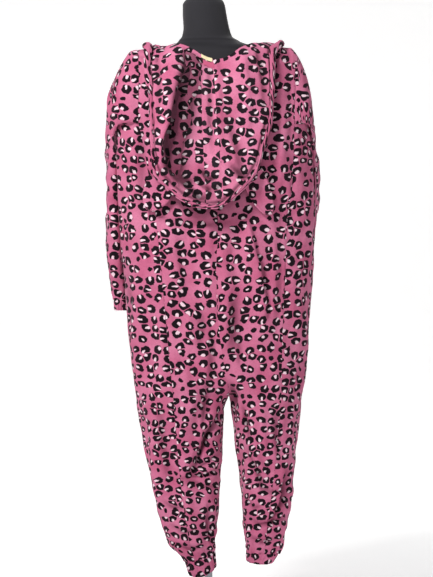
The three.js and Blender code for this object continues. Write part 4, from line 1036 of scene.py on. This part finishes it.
class Nodes:
    """Short names for building a material's node tree."""

    def __init__(self, name):
        self.material = bpy.data.materials.new(name)
        self.material.use_nodes = True
        self.tree = self.material.node_tree
        self.surface = self.tree.nodes["Principled BSDF"]

    def link(self, value, socket):
        if isinstance(value, bpy.types.NodeSocket):
            self.tree.links.new(value, socket)
        elif value is not None:
            socket.default_value = value

    def add(self, kind, inputs=(), **settings):
        node = self.tree.nodes.new(kind)
        for name, value in settings.items():
            setattr(node, name, value)
        for key, value in dict(inputs).items():
            self.link(value, node.inputs[key])
        return node

    def math(self, operation, *values, clamp=False):
        node = self.add("ShaderNodeMath", operation=operation, use_clamp=clamp)
        for k, value in enumerate(values):
            self.link(value, node.inputs[k])
        return node.outputs[0]

    def ramp(self, value, low, high):
        """0 at low, 1 at high, smooth between."""
        node = self.add("ShaderNodeMapRange", interpolation_type="SMOOTHSTEP")
        for key, v in (("Value", value), ("From Min", low), ("From Max", high)):
            self.link(v, node.inputs[key])
        return node.outputs[0]

    def vector(self, operation, *values):
        node = self.add("ShaderNodeVectorMath", operation=operation)
        for k, value in enumerate(values):
            if operation == "SCALE" and k == 1:
                self.link(value, node.inputs["Scale"])
            else:
                self.link(value, node.inputs[k])
        return node.outputs["Value" if operation in ("LENGTH", "DOT_PRODUCT") else "Vector"]

    def noise(self, vector, scale, detail=2.0):
        return self.add("ShaderNodeTexNoise", {"Vector": vector, "Scale": scale, "Detail": detail})

    def mix(self, factor, a, b, blend="MIX"):
        node = self.add("ShaderNodeMix", data_type="RGBA", blend_type=blend)
        self.link(factor, node.inputs[0])
        self.link(a, node.inputs[6])
        self.link(b, node.inputs[7])
        return node.outputs[2]


PRINT_WIDE, PRINT_HIGH = 0.0325, 0.0275
PRINT_RANDOMNESS = 0.56
PINK, PINK_DEEP = (203, 119, 151), (184, 90, 124)
PALE, BLACK = (230, 202, 213), (22, 15, 21)


def fleece_print(name, lift=0.0):
    """Pink fleece with black leopard rosettes, each with a pale patch in its opening."""
    n = Nodes(name)
    uv = n.add("ShaderNodeUVMap", uv_map="cloth").outputs[0]
    cell = n.vector("MULTIPLY", uv, (1 / PRINT_WIDE, 1 / PRINT_HIGH, 0.0))
    wobble = n.vector("SUBTRACT", n.noise(cell, 1.7).outputs["Color"], (0.5, 0.5, 0.5))
    place = n.vector("ADD", cell, n.vector("SCALE", wobble, 0.34))
    spread = {"Vector": place, "Scale": 1.0, "Randomness": PRINT_RANDOMNESS}
    cells = n.add("ShaderNodeTexVoronoi", spread, voronoi_dimensions="2D")
    edges = n.add("ShaderNodeTexVoronoi", spread, voronoi_dimensions="2D", feature="DISTANCE_TO_EDGE")
    chance = n.add("ShaderNodeSeparateColor", {"Color": cells.outputs["Color"]})
    one, two, three = chance.outputs[0], chance.outputs[1], chance.outputs[2]
    four = n.math("FRACT", n.math("MULTIPLY", two, 5.3))
    local = n.vector("SUBTRACT", place, cells.outputs["Position"])
    turn = n.math("MULTIPLY", one, 2 * math.pi)
    turned = n.add("ShaderNodeVectorRotate", {"Vector": local, "Angle": turn}, rotation_type="Z_AXIS").outputs[0]

    # a spot is a ragged oval; some are crescents, longer across their opening
    crescent = n.ramp(two, 0.35, 0.85)
    stretch = n.add("ShaderNodeCombineXYZ", {"X": n.math("MULTIPLY_ADD", crescent, 0.42, 1.0)})
    n.link(n.math("MULTIPLY_ADD", crescent, -0.3, 1.12), stretch.inputs["Y"])
    own = n.vector("MULTIPLY", turned, stretch.outputs[0])
    ragged = n.math("SUBTRACT", n.noise(cell, 3.6, 3.0).outputs["Fac"], 0.5)
    small = n.math("GREATER_THAN", four, 0.9)
    size = n.math("MULTIPLY_ADD", three, 0.08, 0.42)
    size = n.math("MULTIPLY", size, n.math("MULTIPLY_ADD", small, -0.45, 1.0))
    size = n.math("MULTIPLY_ADD", ragged, 0.26, size)
    spot = n.ramp(n.math("SUBTRACT", size, n.vector("LENGTH", own)), -0.012, 0.03)

    # its slot opens towards one side, or stays a slit inside it
    opened = n.ramp(three, 0.04, 0.4)
    middle = n.add("ShaderNodeCombineXYZ", {"X": n.math("MULTIPLY_ADD", opened, 0.26, 0.04)}).outputs[0]
    narrow = n.add("ShaderNodeCombineXYZ", {"X": n.math("MULTIPLY_ADD", opened, -2.7, 5.9)})
    n.link(n.math("MULTIPLY_ADD", n.math("MULTIPLY", four, opened), -4.6, 9.8), narrow.inputs["Y"])
    slot = n.vector("LENGTH", n.vector("MULTIPLY", n.vector("SUBTRACT", own, middle), narrow.outputs[0]))
    slot = n.math("MULTIPLY_ADD", ragged, 1.5, slot)
    cut = n.math("MULTIPLY", n.ramp(slot, 1.12, 0.9), n.math("SUBTRACT", 1.0, small))
    free = n.ramp(edges.outputs["Distance"], 0.02, 0.055)
    black = n.math("MULTIPLY", n.math("MULTIPLY", spot, free), n.math("SUBTRACT", 1.0, cut))
    reach = n.ramp(n.vector("LENGTH", own), 0.48, 0.36)
    pale = n.math("MULTIPLY", n.math("MULTIPLY", cut, reach), free)

    shade = n.noise(cell, 0.35, 2.0).outputs["Fac"]
    fuzz = n.noise(uv, 620.0, 2.0).outputs["Fac"]
    nap = n.noise(uv, 170.0, 3.0).outputs["Fac"]
    # lift lightens every colour of the print but the pale patch; on the hood it gives lighter copies that are partly
    # painted light
    up = lambda colour: linear(tuple(c + lift for c in colour))
    colour = n.mix(n.ramp(shade, 0.25, 0.75), up(PINK_DEEP), up(PINK))
    colour = n.mix(pale, colour, linear(PALE))
    colour = n.mix(black, colour, up(BLACK))
    tone_and_painted_shade = n.math("ADD", n.math("MULTIPLY_ADD", fuzz, 0.5, 0.6), n.math("MULTIPLY", nap, 0.3))
    # painted shade: a per-point attribute darkens the colour in the creases' troughs, above the hood's hem and on the
    # back under the hood's rim
    painted_shade = n.add("ShaderNodeAttribute", attribute_name="painted_shade").outputs["Fac"]
    tone_and_painted_shade = n.math("MULTIPLY", tone_and_painted_shade, n.math("MULTIPLY_ADD", painted_shade, -0.8, 1.0))
    grey = n.add("ShaderNodeCombineColor", {"Red": tone_and_painted_shade, "Green": tone_and_painted_shade, "Blue": tone_and_painted_shade}).outputs[0]
    n.link(n.mix(1.0, colour, grey, "MULTIPLY"), n.surface.inputs["Base Color"])
    n.link(0.95, n.surface.inputs["Roughness"])
    n.link(0.12, n.surface.inputs["Sheen Weight"])
    n.link(0.5, n.surface.inputs["Sheen Roughness"])
    n.link(linear((255, 200, 220)), n.surface.inputs["Sheen Tint"])
    n.link(0.1, n.surface.inputs["Specular IOR Level"])
    pile = n.math("ADD", nap, n.math("MULTIPLY", fuzz, 0.5))
    bump = n.add("ShaderNodeBump", {"Height": pile, "Strength": 0.6, "Distance": 0.0018})
    n.link(bump.outputs[0], n.surface.inputs["Normal"])
    return n.material


def plain(name, colour, roughness, metallic=0.0, bump_scale=0.0, bump=0.0, sheen=0.0):
    """A plain material with slight unevenness of colour and surface."""
    n = Nodes(name)
    at = n.add("ShaderNodeTexCoord").outputs["Object"]
    spots = n.noise(at, 60.0, 3.0).outputs["Fac"]
    dark = tuple(c * 0.9 for c in colour)
    n.link(n.mix(spots, linear(dark), linear(colour)), n.surface.inputs["Base Color"])
    n.link(roughness, n.surface.inputs["Roughness"])
    n.link(metallic, n.surface.inputs["Metallic"])
    n.link(sheen, n.surface.inputs["Sheen Weight"])
    if bump:
        grain = n.noise(at, bump_scale, 2.0).outputs["Fac"]
        n.link(n.add("ShaderNodeBump", {"Height": grain, "Strength": bump, "Distance": 0.0006}).outputs[0], n.surface.inputs["Normal"])
    return n.material


FLEECE_PRINT = fleece_print("fleece print")
# lighter copies of the print for the hood's lining and, lighter still, its centre panel: partly painted light
HOOD_PRINT = fleece_print("hood lining print", 7.0)
CENTRE_PRINT = fleece_print("hood centre print", 17.0)
LABEL_CLOTH = plain("label cloth", (236, 222, 178), 0.85, bump_scale=900, bump=0.3, sheen=0.1)
TRIM = plain("pink trim", (196, 84, 122), 0.85, bump_scale=700, bump=0.4, sheen=0.2)
ZIP_PLASTIC = plain("zip plastic", (204, 92, 136), 0.45)
METAL = plain("zip metal", (185, 187, 192), 0.32, 1.0)
JERSEY = plain("black jersey", (33, 32, 38), 0.92, bump_scale=1400, bump=0.35, sheen=0.12)
STEEL = plain("stand steel", (150, 153, 158), 0.36, 0.9)
THREAD = plain("thread", (170, 66, 104), 0.8)

# The garment's panels
SIZES = {
    "back_left": ((0.31, 1.50), 0.236),
    "back_right": ((0.31, 1.50), 0.25),
    "front_left": ((0.50, 1.50), 0.548),
    "front_right": ((0.48, 1.50), 0.488),
    "sleeve_left": ((0.46, 0.74), 0.215),
    "sleeve_right": ((0.44, 0.74), 0.196),
}
SIDE_NAME = {LEFT: "left", RIGHT: "right"}
for side in (LEFT, RIGHT):
    label = SIDE_NAME[side]
    seed = 3 if side == LEFT else 8
    back, upper = back_grid(side)
    front, upper, chest = front_grid(side)
    ring = armhole_ring(side, back, front, upper, chest)
    for name, grid, last in (("back", back, back.shape[1] - 1), ("front", front, chest)):
        worn, reach, painted_shade = dress_panel(grid, upper, last, seed)
        size, area = SIZES[f"{name}_{label}"]
        panel_object(f"{name}_{label}", worn, reach, painted_shade, upper, last, seed)
        seed += 1

    points, uv = sleeve(side, ring, seed)
    size, area = SIZES[f"sleeve_{label}"]
    obj = cloth_object(
        f"sleeve_{label}_cloth",
        points,
        uv,
        points - points.mean(1, keepdims=True),
        closed=True,
        material=FLEECE_PRINT,
        nodes=[f"sleeve_{label}"],
        slot="fleece_print",
    )
    cuff_object(f"wrist_cuff_{label}", wrist_point(side), CUFF_GATHER_HEIGHT, seed + 1)
    cuff_object(f"ankle_cuff_{label}", ankle_point(side), CUFF_GATHER_HEIGHT, seed + 2)

# Hood
HOOD_ROWS = 104
turns = np.linspace(-1, 1, 2001)
rim = hood_point(turns, np.ones_like(turns))
gone = np.concatenate([[0], np.cumsum(np.linalg.norm(np.diff(rim, axis=0), axis=1))])
spread = 0.5 * gone / gone[-1] + 0.5 * (turns + 1) / 2
turns = np.interp(np.linspace(0, 1, 330), spread, turns)
turns = np.unique(np.concatenate([turns, HOOD_SEAMS]))
rows = np.linspace(0, 1, HOOD_ROWS)
hood = hood_point(turns[None], rows[:, None])
neck_x, neck_along = neck_place(turns)
pouch = 1 - smooth(np.abs(turns - POUCH_MIDDLE) / POUCH_TURN)
gone = 1 - (1 - rows[:, None]) ** (1 + 0.6 * pouch)
chart = np.stack(
    [lerp(neck_x, curve(RIM, "x", "turn", turns), gone), lerp(neck_along, curve(RIM, "along", "turn", turns), gone)], -1
)
normals = grid_normals(hood)
normals *= np.sign((normals * outward_at(chart[..., 0], chart[..., 1])).sum(-1).mean())
down = arcs(hood, 0)
to_rim = down[-1] - down
round_hood = arcs(hood, 1)
seam_columns = [int(np.argmin(np.abs(turns - turn))) for turn in HOOD_SEAMS]
seam_away = np.minimum(*[np.abs(round_hood - round_hood[:, [column]]) for column in seam_columns])
behind = hood[..., 1] < 0
height = np.where(behind & (np.abs(turns) < 0.5), relief(HOOD_CREASES, chart[..., 0], chart[..., 1]), 0)
inside = edge_fade(down, 20) * edge_fade(to_rim, 14)
height = height * inside * lerp(1.0, 1.8, smooth((1255 - chart[..., 1]) / 60))
# painted shade in the hood's crease troughs, and a painted shadow line just above the hem band
hood_painted_shade = np.clip(-height / 10, 0, 1)
hood_painted_shade = np.maximum(hood_painted_shade, 0.8 * np.exp(-(((to_rim - HEM_WIDTH - 2) / 7) ** 2)) * (np.abs(turns) < 0.5))
hills = waves(chart[..., 0], chart[..., 1], 51, 9, 90, 260, 1.6) + waves(chart[..., 0], chart[..., 1], 57, 9, 38, 46, 0.7)
height += hills * inside * edge_fade(seam_away, 10)
height += seam_roll(seam_away, chart[..., 1], 5) * inside
height -= 3.6 * np.exp(-(((to_rim - HEM_WIDTH) / 6) ** 2)) * (to_rim > HEM_WIDTH - 1)
hood = hood + normals * height[..., None]
under = place_on_body(chart[..., 0], chart[..., 1])


def climb(axis):
    """Length up the back between neighbours of the grid, without the sideways part."""
    whole = (np.diff(under, axis=axis) ** 2).sum(-1)
    sideways = np.diff(chart[..., 0], axis=axis) ** 2
    return np.sqrt(np.maximum(whole - sideways, 0)) * np.sign(np.diff(chart[..., 1], axis=axis))


neck_climb = np.concatenate([[0], np.cumsum(climb(1)[0])])
height_up = np.concatenate([neck_climb[None], neck_climb + np.cumsum(climb(0), 0)])


def taken_up(x, along):
    """Cloth that the pleat and the creases take up between the hood's middle and a place beside it."""
    across, up = np.meshgrid(np.arange(-270, 271, 3.0), np.arange(1090, 1570, 6.0))
    slope = np.diff(relief(HOOD_CREASES, across, up) + pleat_height(across, up), axis=1) / 3.0
    total = np.cumsum((np.sqrt(1 + slope**2) - 1) * 3.0, 1)
    total -= total[:, [93]]
    column = np.clip((x + 270) / 3.0, 0, total.shape[1] - 1.001)
    row = np.clip((along - 1090) / 6.0, 0, total.shape[0] - 1.001)
    c, r = column.astype(int), row.astype(int)
    lower = lerp(total[r, c], total[r, c + 1], column - c)
    upper = lerp(total[r + 1, c], total[r + 1, c + 1], column - c)
    return lerp(lower, upper, row - r)


folded = np.where(np.abs(turns) < 0.5, taken_up(chart[..., 0], chart[..., 1]), 0)
hood_uv = np.stack([chart[..., 0] + 0.8 * folded, height_up], -1)
stations = {
    "hood_left": (turns <= HOOD_SEAMS[0] + 1e-9, 0.0, (0.52, 0.56), 0.0875),
    "hood_centre": ((turns >= HOOD_SEAMS[0] - 1e-9) & (turns <= HOOD_SEAMS[1] + 1e-9), 143.0, (0.1, 0.5), 0.0177),
    "hood_right": (turns >= HOOD_SEAMS[1] - 1e-9, 411.0, (0.48, 0.5), 0.0735),
}
for name, (pick, shift, size, area) in stations.items():
    obj = cloth_object(
        f"{name}_cloth",
        hood[:, pick],
        hood_uv[:, pick] + shift,
        normals[:, pick],
        painted_shade=hood_painted_shade[:, pick],
        material=CENTRE_PRINT if name == "hood_centre" else HOOD_PRINT,
        nodes=[name],
        slot="fleece_print",
    )

# Hem of the hood's face opening: a doubled band with a row of stitches
length = down[-1]
hem_at = 1 - np.minimum(0.6, HEM_WIDTH / length)
band = np.linspace(0, 1, 13)[:, None]
hem = hood_point(turns[None], lerp(hem_at[None], 1.0, band))
hem_normals = grid_normals(hem)
hem_normals *= np.sign((hem_normals * normals[-1]).sum())
rim_gone = arcs(hem, 1)
lump = waves(rim_gone, arcs(hem, 0), 71, 7, 26, 200, 0.55)
hem_height = FLEECE + SEAM + 6.6 * np.sin(np.pi * band) ** 0.6 + lump - 2.2 * np.exp(-(((band - 0.14) / 0.07) ** 2))
hem = hem + hem_normals * hem_height[..., None]
hem_chart = np.stack([rim_gone, -arcs(hem, 0)], -1)
obj = cloth_object("hood_hem_cloth", hem, hem_chart + 59.0, hem_normals, material=FLEECE_PRINT, nodes=["hood_hem"], slot="fleece_print")


def stitch_line(name, line, normals, pitch=4.2, long=2.8, thick=0.5):
    """Short threads along a line of points."""
    gone = np.concatenate([[0], np.cumsum(np.linalg.norm(np.diff(line, axis=0), axis=1))])
    starts = np.arange(pitch, gone[-1] - pitch, pitch)
    at = lambda s, values: np.stack([np.interp(s, gone, values[:, k]) for k in range(3)], -1)
    a, b, up = at(starts, line), at(starts + long, line), unit(at(starts, normals))
    aside = unit(np.cross(b - a, up)) * thick / 2
    lift = up * thick
    corners = np.stack([a - aside, a + aside, b + aside, b - aside], 1)
    verts = np.concatenate([corners, corners * 0.8 + corners.mean(1, keepdims=True) * 0.2 + lift[:, None]], 1)
    quads = np.array([[4, 5, 6, 7], [0, 4, 7, 3], [1, 2, 6, 5], [0, 1, 5, 4], [3, 7, 6, 2], [0, 3, 2, 1]])
    faces = (np.arange(len(starts))[:, None, None] * 8 + quads).reshape(-1, 4)
    obj = mesh_object(name, verts.reshape(-1, 3), faces, material=THREAD, slot="trim")
    return obj


stitch_line("hood_hem_stitches", hem[2], hem_normals[2])

# Ears
for side in (LEFT, RIGHT):
    ear = EARS[side]
    root, tip = np.array(ear["root"], float), np.array(ear["tip"], float)
    along = tip - root
    across = np.array([-along[1], along[0]]) / np.linalg.norm(along)
    t = np.linspace(0, 1, 40)[:, None]
    c = np.linspace(-1, 1, 41)[None]
    reach = np.sin(t * 0.94 * np.pi / 2)
    half = ear["width"] / 2 * np.sqrt(np.maximum(0, 1 - reach**2.6)) ** 0.9
    x = root[0] + along[0] * reach + across[0] * c * half
    z = root[1] + along[1] * reach + across[1] * c * half
    cup = 3 * c**2 * (1 - reach)
    lift = lerp(ear["root_lift"], ear["tip_lift"] + 7, smooth(reach)) + cup
    outer = place_on_body(x, z)
    outer[..., 1] -= lift
    dip = 4.5 * np.exp(-((c / 0.55) ** 2)) * np.exp(-(((reach - 0.35) / 0.4) ** 2))
    rim_roll = 2.4 * np.exp(-(((np.abs(c) - 0.86) / 0.12) ** 2)) * (1 - 0.3 * reach)
    outer[..., 1] += dip - rim_roll
    normals_ear = grid_normals(outer)
    normals_ear *= -np.sign(normals_ear[..., 1].mean())
    plump = np.sqrt(np.clip(1 - np.maximum(np.abs(c), np.clip((reach - 0.6) / 0.4, 0, 1)) ** 4, 0.02, 1))
    outer = outer - normals_ear * (EAR_THICK / 2 * (1 - plump))[..., None]
    inner = outer - normals_ear * (EAR_THICK * plump)[..., None]
    rows_ear, columns_ear = outer.shape[:2]
    faces = grid_faces((rows_ear, columns_ear))
    shift = rows_ear * columns_ear
    number = np.arange(shift).reshape(rows_ear, columns_ear)
    loop = np.concatenate([number[0, :], number[1:, -1], number[-1, -2::-1], number[-2:0:-1, 0]])
    nxt = np.roll(loop, -1)
    sides = np.stack([loop, nxt, nxt + shift, loop + shift], -1)
    front_faces = faces if (grid_normals(outer)[..., 1].mean() < 0) else faces[:, ::-1]
    all_faces = np.concatenate([front_faces, front_faces[:, ::-1] + shift, sides if front_faces is not faces else sides[:, ::-1]])
    chart_ear = np.stack([x, z], -1).reshape(-1, 2)
    obj = mesh_object(
        f"ear_{SIDE_NAME[side]}_cloth",
        np.concatenate([outer.reshape(-1, 3), inner.reshape(-1, 3)]),
        all_faces,
        np.concatenate([chart_ear, chart_ear + 40]) + 500.0,
        material=FLEECE_PRINT,
        nodes=[f"ear_{SIDE_NAME[side]}"],
        slot="fleece_print",
    )


# Label and loop at the back of the neckline
def tab_object(name, from_turn, to_turn, above, below, out, material, slot):
    span = np.linspace(from_turn, to_turn, 25)
    heights = np.linspace(-above, below, 22)
    edge, lower = hood_point(span, 0.0 * span), hood_point(span, 0.08 + 0 * span)
    way = unit(lower - edge)
    long = np.linalg.norm(lower - edge, axis=-1)
    points = np.stack(
        [hood_point(span, 0.08 * h / long) if h > 0 else edge + way * h for h in heights]
    )
    facing = grid_normals(points)
    facing *= -np.sign(facing[..., 1].mean())
    wave = 0.35 * np.sin(np.linspace(0, 5, 22))[:, None] + 0.3 * np.sin(np.linspace(0, 7, 25))[None]
    points = points + facing * (out + 0.8 + wave)[..., None]
    uv = np.stack([arcs(points, 1), -arcs(points, 0)], -1)
    obj = cloth_object(f"{name}_cloth", points, uv, facing, thick=0.8, material=material, nodes=[name], slot=slot)


tab_object("neck_label", -0.15, -0.045, 1, 10, SEAM + 0.9, LABEL_CLOTH, "label_cloth")
tab_object("hanger_loop", -0.135, -0.03, -13, 28, SEAM + 0.6, TRIM, "trim")

# Zip: the tape's own solid stays, and teeth stand for the chain
centre_z = np.arange(ZIP_END_Z + 6, ARMHOLE_Z, 2.6)
low_teeth = np.stack([curve(TRUNK, "centre", "z", centre_z), curve(TRUNK, "front", "z", centre_z) + fold_height(FRONT, curve(TRUNK, "centre", "z", centre_z), centre_z), centre_z], -1)
rises = np.linspace(0.004, NECK_RISE[FRONT] - 0.004, 60)
high_teeth = shoulder_point(LEFT, FRONT, 0 * rises, rises)
path = np.concatenate([low_teeth, high_teeth])
gone = np.concatenate([[0], np.cumsum(np.linalg.norm(np.diff(path, axis=0), axis=1))])
count = int(gone[-1] / 2.6)
path = np.stack([np.interp(np.linspace(0, gone[-1], count), gone, path[:, k]) for k in range(3)], -1)
along = unit(np.gradient(path, axis=0))
across = np.array([1.0, 0, 0])
facing = np.cross(np.broadcast_to(across, along.shape), along)
facing *= np.sign(facing[:, 1].mean())
teeth, quads, faces = [], np.array([[0, 1, 2, 3], [7, 6, 5, 4], [0, 4, 5, 1], [1, 5, 6, 2], [2, 6, 7, 3], [3, 7, 4, 0]]), []
for k in range(count):
    shift = 0.9 if k % 2 else -0.9
    middle_at = path[k] + across * shift - facing[k] * 1.0
    for a in (-1, 1):
        for b, d in ((-1, -1), (1, -1), (1, 1), (-1, 1)):
            teeth.append(middle_at + across * 1.9 * b + along[k] * 0.75 * d + facing[k] * 1.15 * (1 if a > 0 else -1))
    faces.extend((quads + 8 * k).tolist())
mesh_object("zip_teeth", np.array(teeth), faces, material=ZIP_PLASTIC, nodes=["zip_chain"], slot="zip_plastic")


def paint(name, material):
    mesh = NODES[name].data
    mesh.materials.clear()
    mesh.materials.append(material)


paint("zip_tape", TRIM)
paint("zip_slider", METAL)
paint("zip_pull", METAL)

# Dress form, smooth
z = np.concatenate([np.linspace(870, 1500, 90), np.linspace(1503, 1685, 74)])
angle = np.linspace(0, 2 * np.pi, 129)[:-1]
left, right, depth = (curve(TORSO, name, "z", z)[:, None] for name in ("left", "right", "depth"))
torso = np.stack(
    np.broadcast_arrays(lerp(left, right, (1 + np.cos(angle)) / 2), depth * np.sin(angle), z[:, None]), -1
)
neck_seam = 0.8 * np.exp(-(((z - 1566) / 2.4) ** 2)) - 0.9 * np.exp(-(((z - 1560.5) / 2.2) ** 2))
centre_of = torso.mean(1, keepdims=True)
torso = torso + unit(torso - centre_of) * neck_seam[:, None, None]
caps = []
for ring, sign in ((torso[:1], -1), (torso[-1:], 1)):
    middle_of = ring.mean(1, keepdims=True)
    shares = np.array([0.85, 0.6, 0.3, 0.02])
    rings = [middle_of + (ring - middle_of) * s + np.array([0, 0, sign * 1.6 * (1 - s)]) for s in shares]
    caps.append(np.concatenate(rings if sign > 0 else rings[::-1]))
torso = np.concatenate([caps[0], torso, caps[1]])
mesh_object(
    "form_torso_smooth",
    torso.reshape(-1, 3),
    grid_faces(torso.shape[:2], True, None, True),
    material=JERSEY,
    nodes=["form_torso"],
    slot="jersey",
)


def lathe(name, profile, material, node):
    """A smooth round solid from radius and height pairs."""
    count = 96
    turn = 2 * np.pi * np.arange(count) / count
    profile = np.array(profile, float)
    points = np.stack(
        [profile[:, :1] * np.cos(turn), profile[:, :1] * np.sin(turn), np.repeat(profile[:, 1:], count, 1)], -1
    )
    obj = mesh_object(
        name, points.reshape(-1, 3), grid_faces(points.shape[:2], True, None, True), material=material, nodes=[node], slot="stand_steel"
    )
    smoother = obj.modifiers.new("edges", "EDGE_SPLIT")
    smoother.split_angle = math.radians(40)
    return obj


lathe("form_pole_smooth", [(0.01, 6.3), (11, 6.3), (11, 869.7), (0.01, 869.7)], STEEL, "form_pole")
lathe(
    "form_base_smooth",
    [
        (0.01, 0), (167, 0), (169, 0.8), (170, 2), (170, 4.6), (169, 5.8), (166.5, 6.2), (110, 8.6), (60, 11), (36, 12),
        (25, 13.8), (21, 16.5), (20, 20), (20, 44), (19, 46), (11.3, 46), (11.3, 6), (0.01, 6),
    ],
    STEEL,
    "form_base",
)

# Studio: a pale floor that curves up into a backdrop, soft lights, and the photograph's camera
bend = np.linspace(0, np.pi / 2, 24)
floor_profile = [(-9.0, 0.0), (2.2, 0.0)] + [(2.2 + 1.6 * math.sin(a), 1.6 - 1.6 * math.cos(a)) for a in bend[1:]] + [(3.8, 7.0)]
sweep = np.array([[[x * 1000, y * 1000, z * 1000] for x in (-9, 9)] for y, z in floor_profile])
backdrop = plain("pale backdrop", (246, 246, 246), 0.95)
glow = backdrop.node_tree.nodes["Principled BSDF"]
glow.inputs["Emission Color"].default_value = (1, 1, 1, 1)
glow.inputs["Emission Strength"].default_value = 0.42
stage = mesh_object("floor", sweep.reshape(-1, 3), grid_faces(sweep.shape[:2]), material=backdrop, body=None)


def area_light(name, place, aim, size, power, colour=(1, 1, 1)):
    light = bpy.data.lights.new(name, "AREA")
    light.shape = "RECTANGLE"
    light.size, light.size_y = size
    light.energy = power
    light.color = colour
    obj = bpy.data.objects.new(name, light)
    obj.location = place
    direction = np.array(aim) - np.array(place)
    obj.rotation_euler = (
        math.atan2(math.hypot(direction[0], direction[1]), -direction[2]),
        0,
        math.atan2(direction[1], direction[0]) - math.pi / 2,
    )
    bpy.context.scene.collection.objects.link(obj)
    return obj


area_light("key", (-1.5, -2.1, 3.2), (0, 0, 1.15), (0.6, 0.6), 108, (1.0, 0.985, 0.97))
area_light("fill", (2.8, -3.6, 1.4), (0, 0, 0.8), (2.2, 2.2), 20, (0.97, 0.985, 1.0))
area_light("rim", (0.6, 2.6, 3.2), (0, 0, 1.2), (1.6, 1.6), 24)

world = bpy.data.worlds.new("studio")
world.use_nodes = True
world.node_tree.nodes["Background"].inputs[0].default_value = (1.0, 1.0, 1.0, 1)
world.node_tree.nodes["Background"].inputs[1].default_value = 0.18
scene = bpy.context.scene
scene.world = world
scene.view_settings.view_transform = "Standard"
scene.view_settings.look = "None"

camera = bpy.data.cameras.new("camera")
camera.sensor_fit = "VERTICAL"
camera.sensor_height = 24.0
camera.lens = 24.0 * 5.5 / 1.587
view = bpy.data.objects.new("camera", camera)
view.location = (0.022, -5.5, 0.883)
view.rotation_euler = (math.pi / 2, 0, 0)
scene.collection.objects.link(view)
scene.camera = view
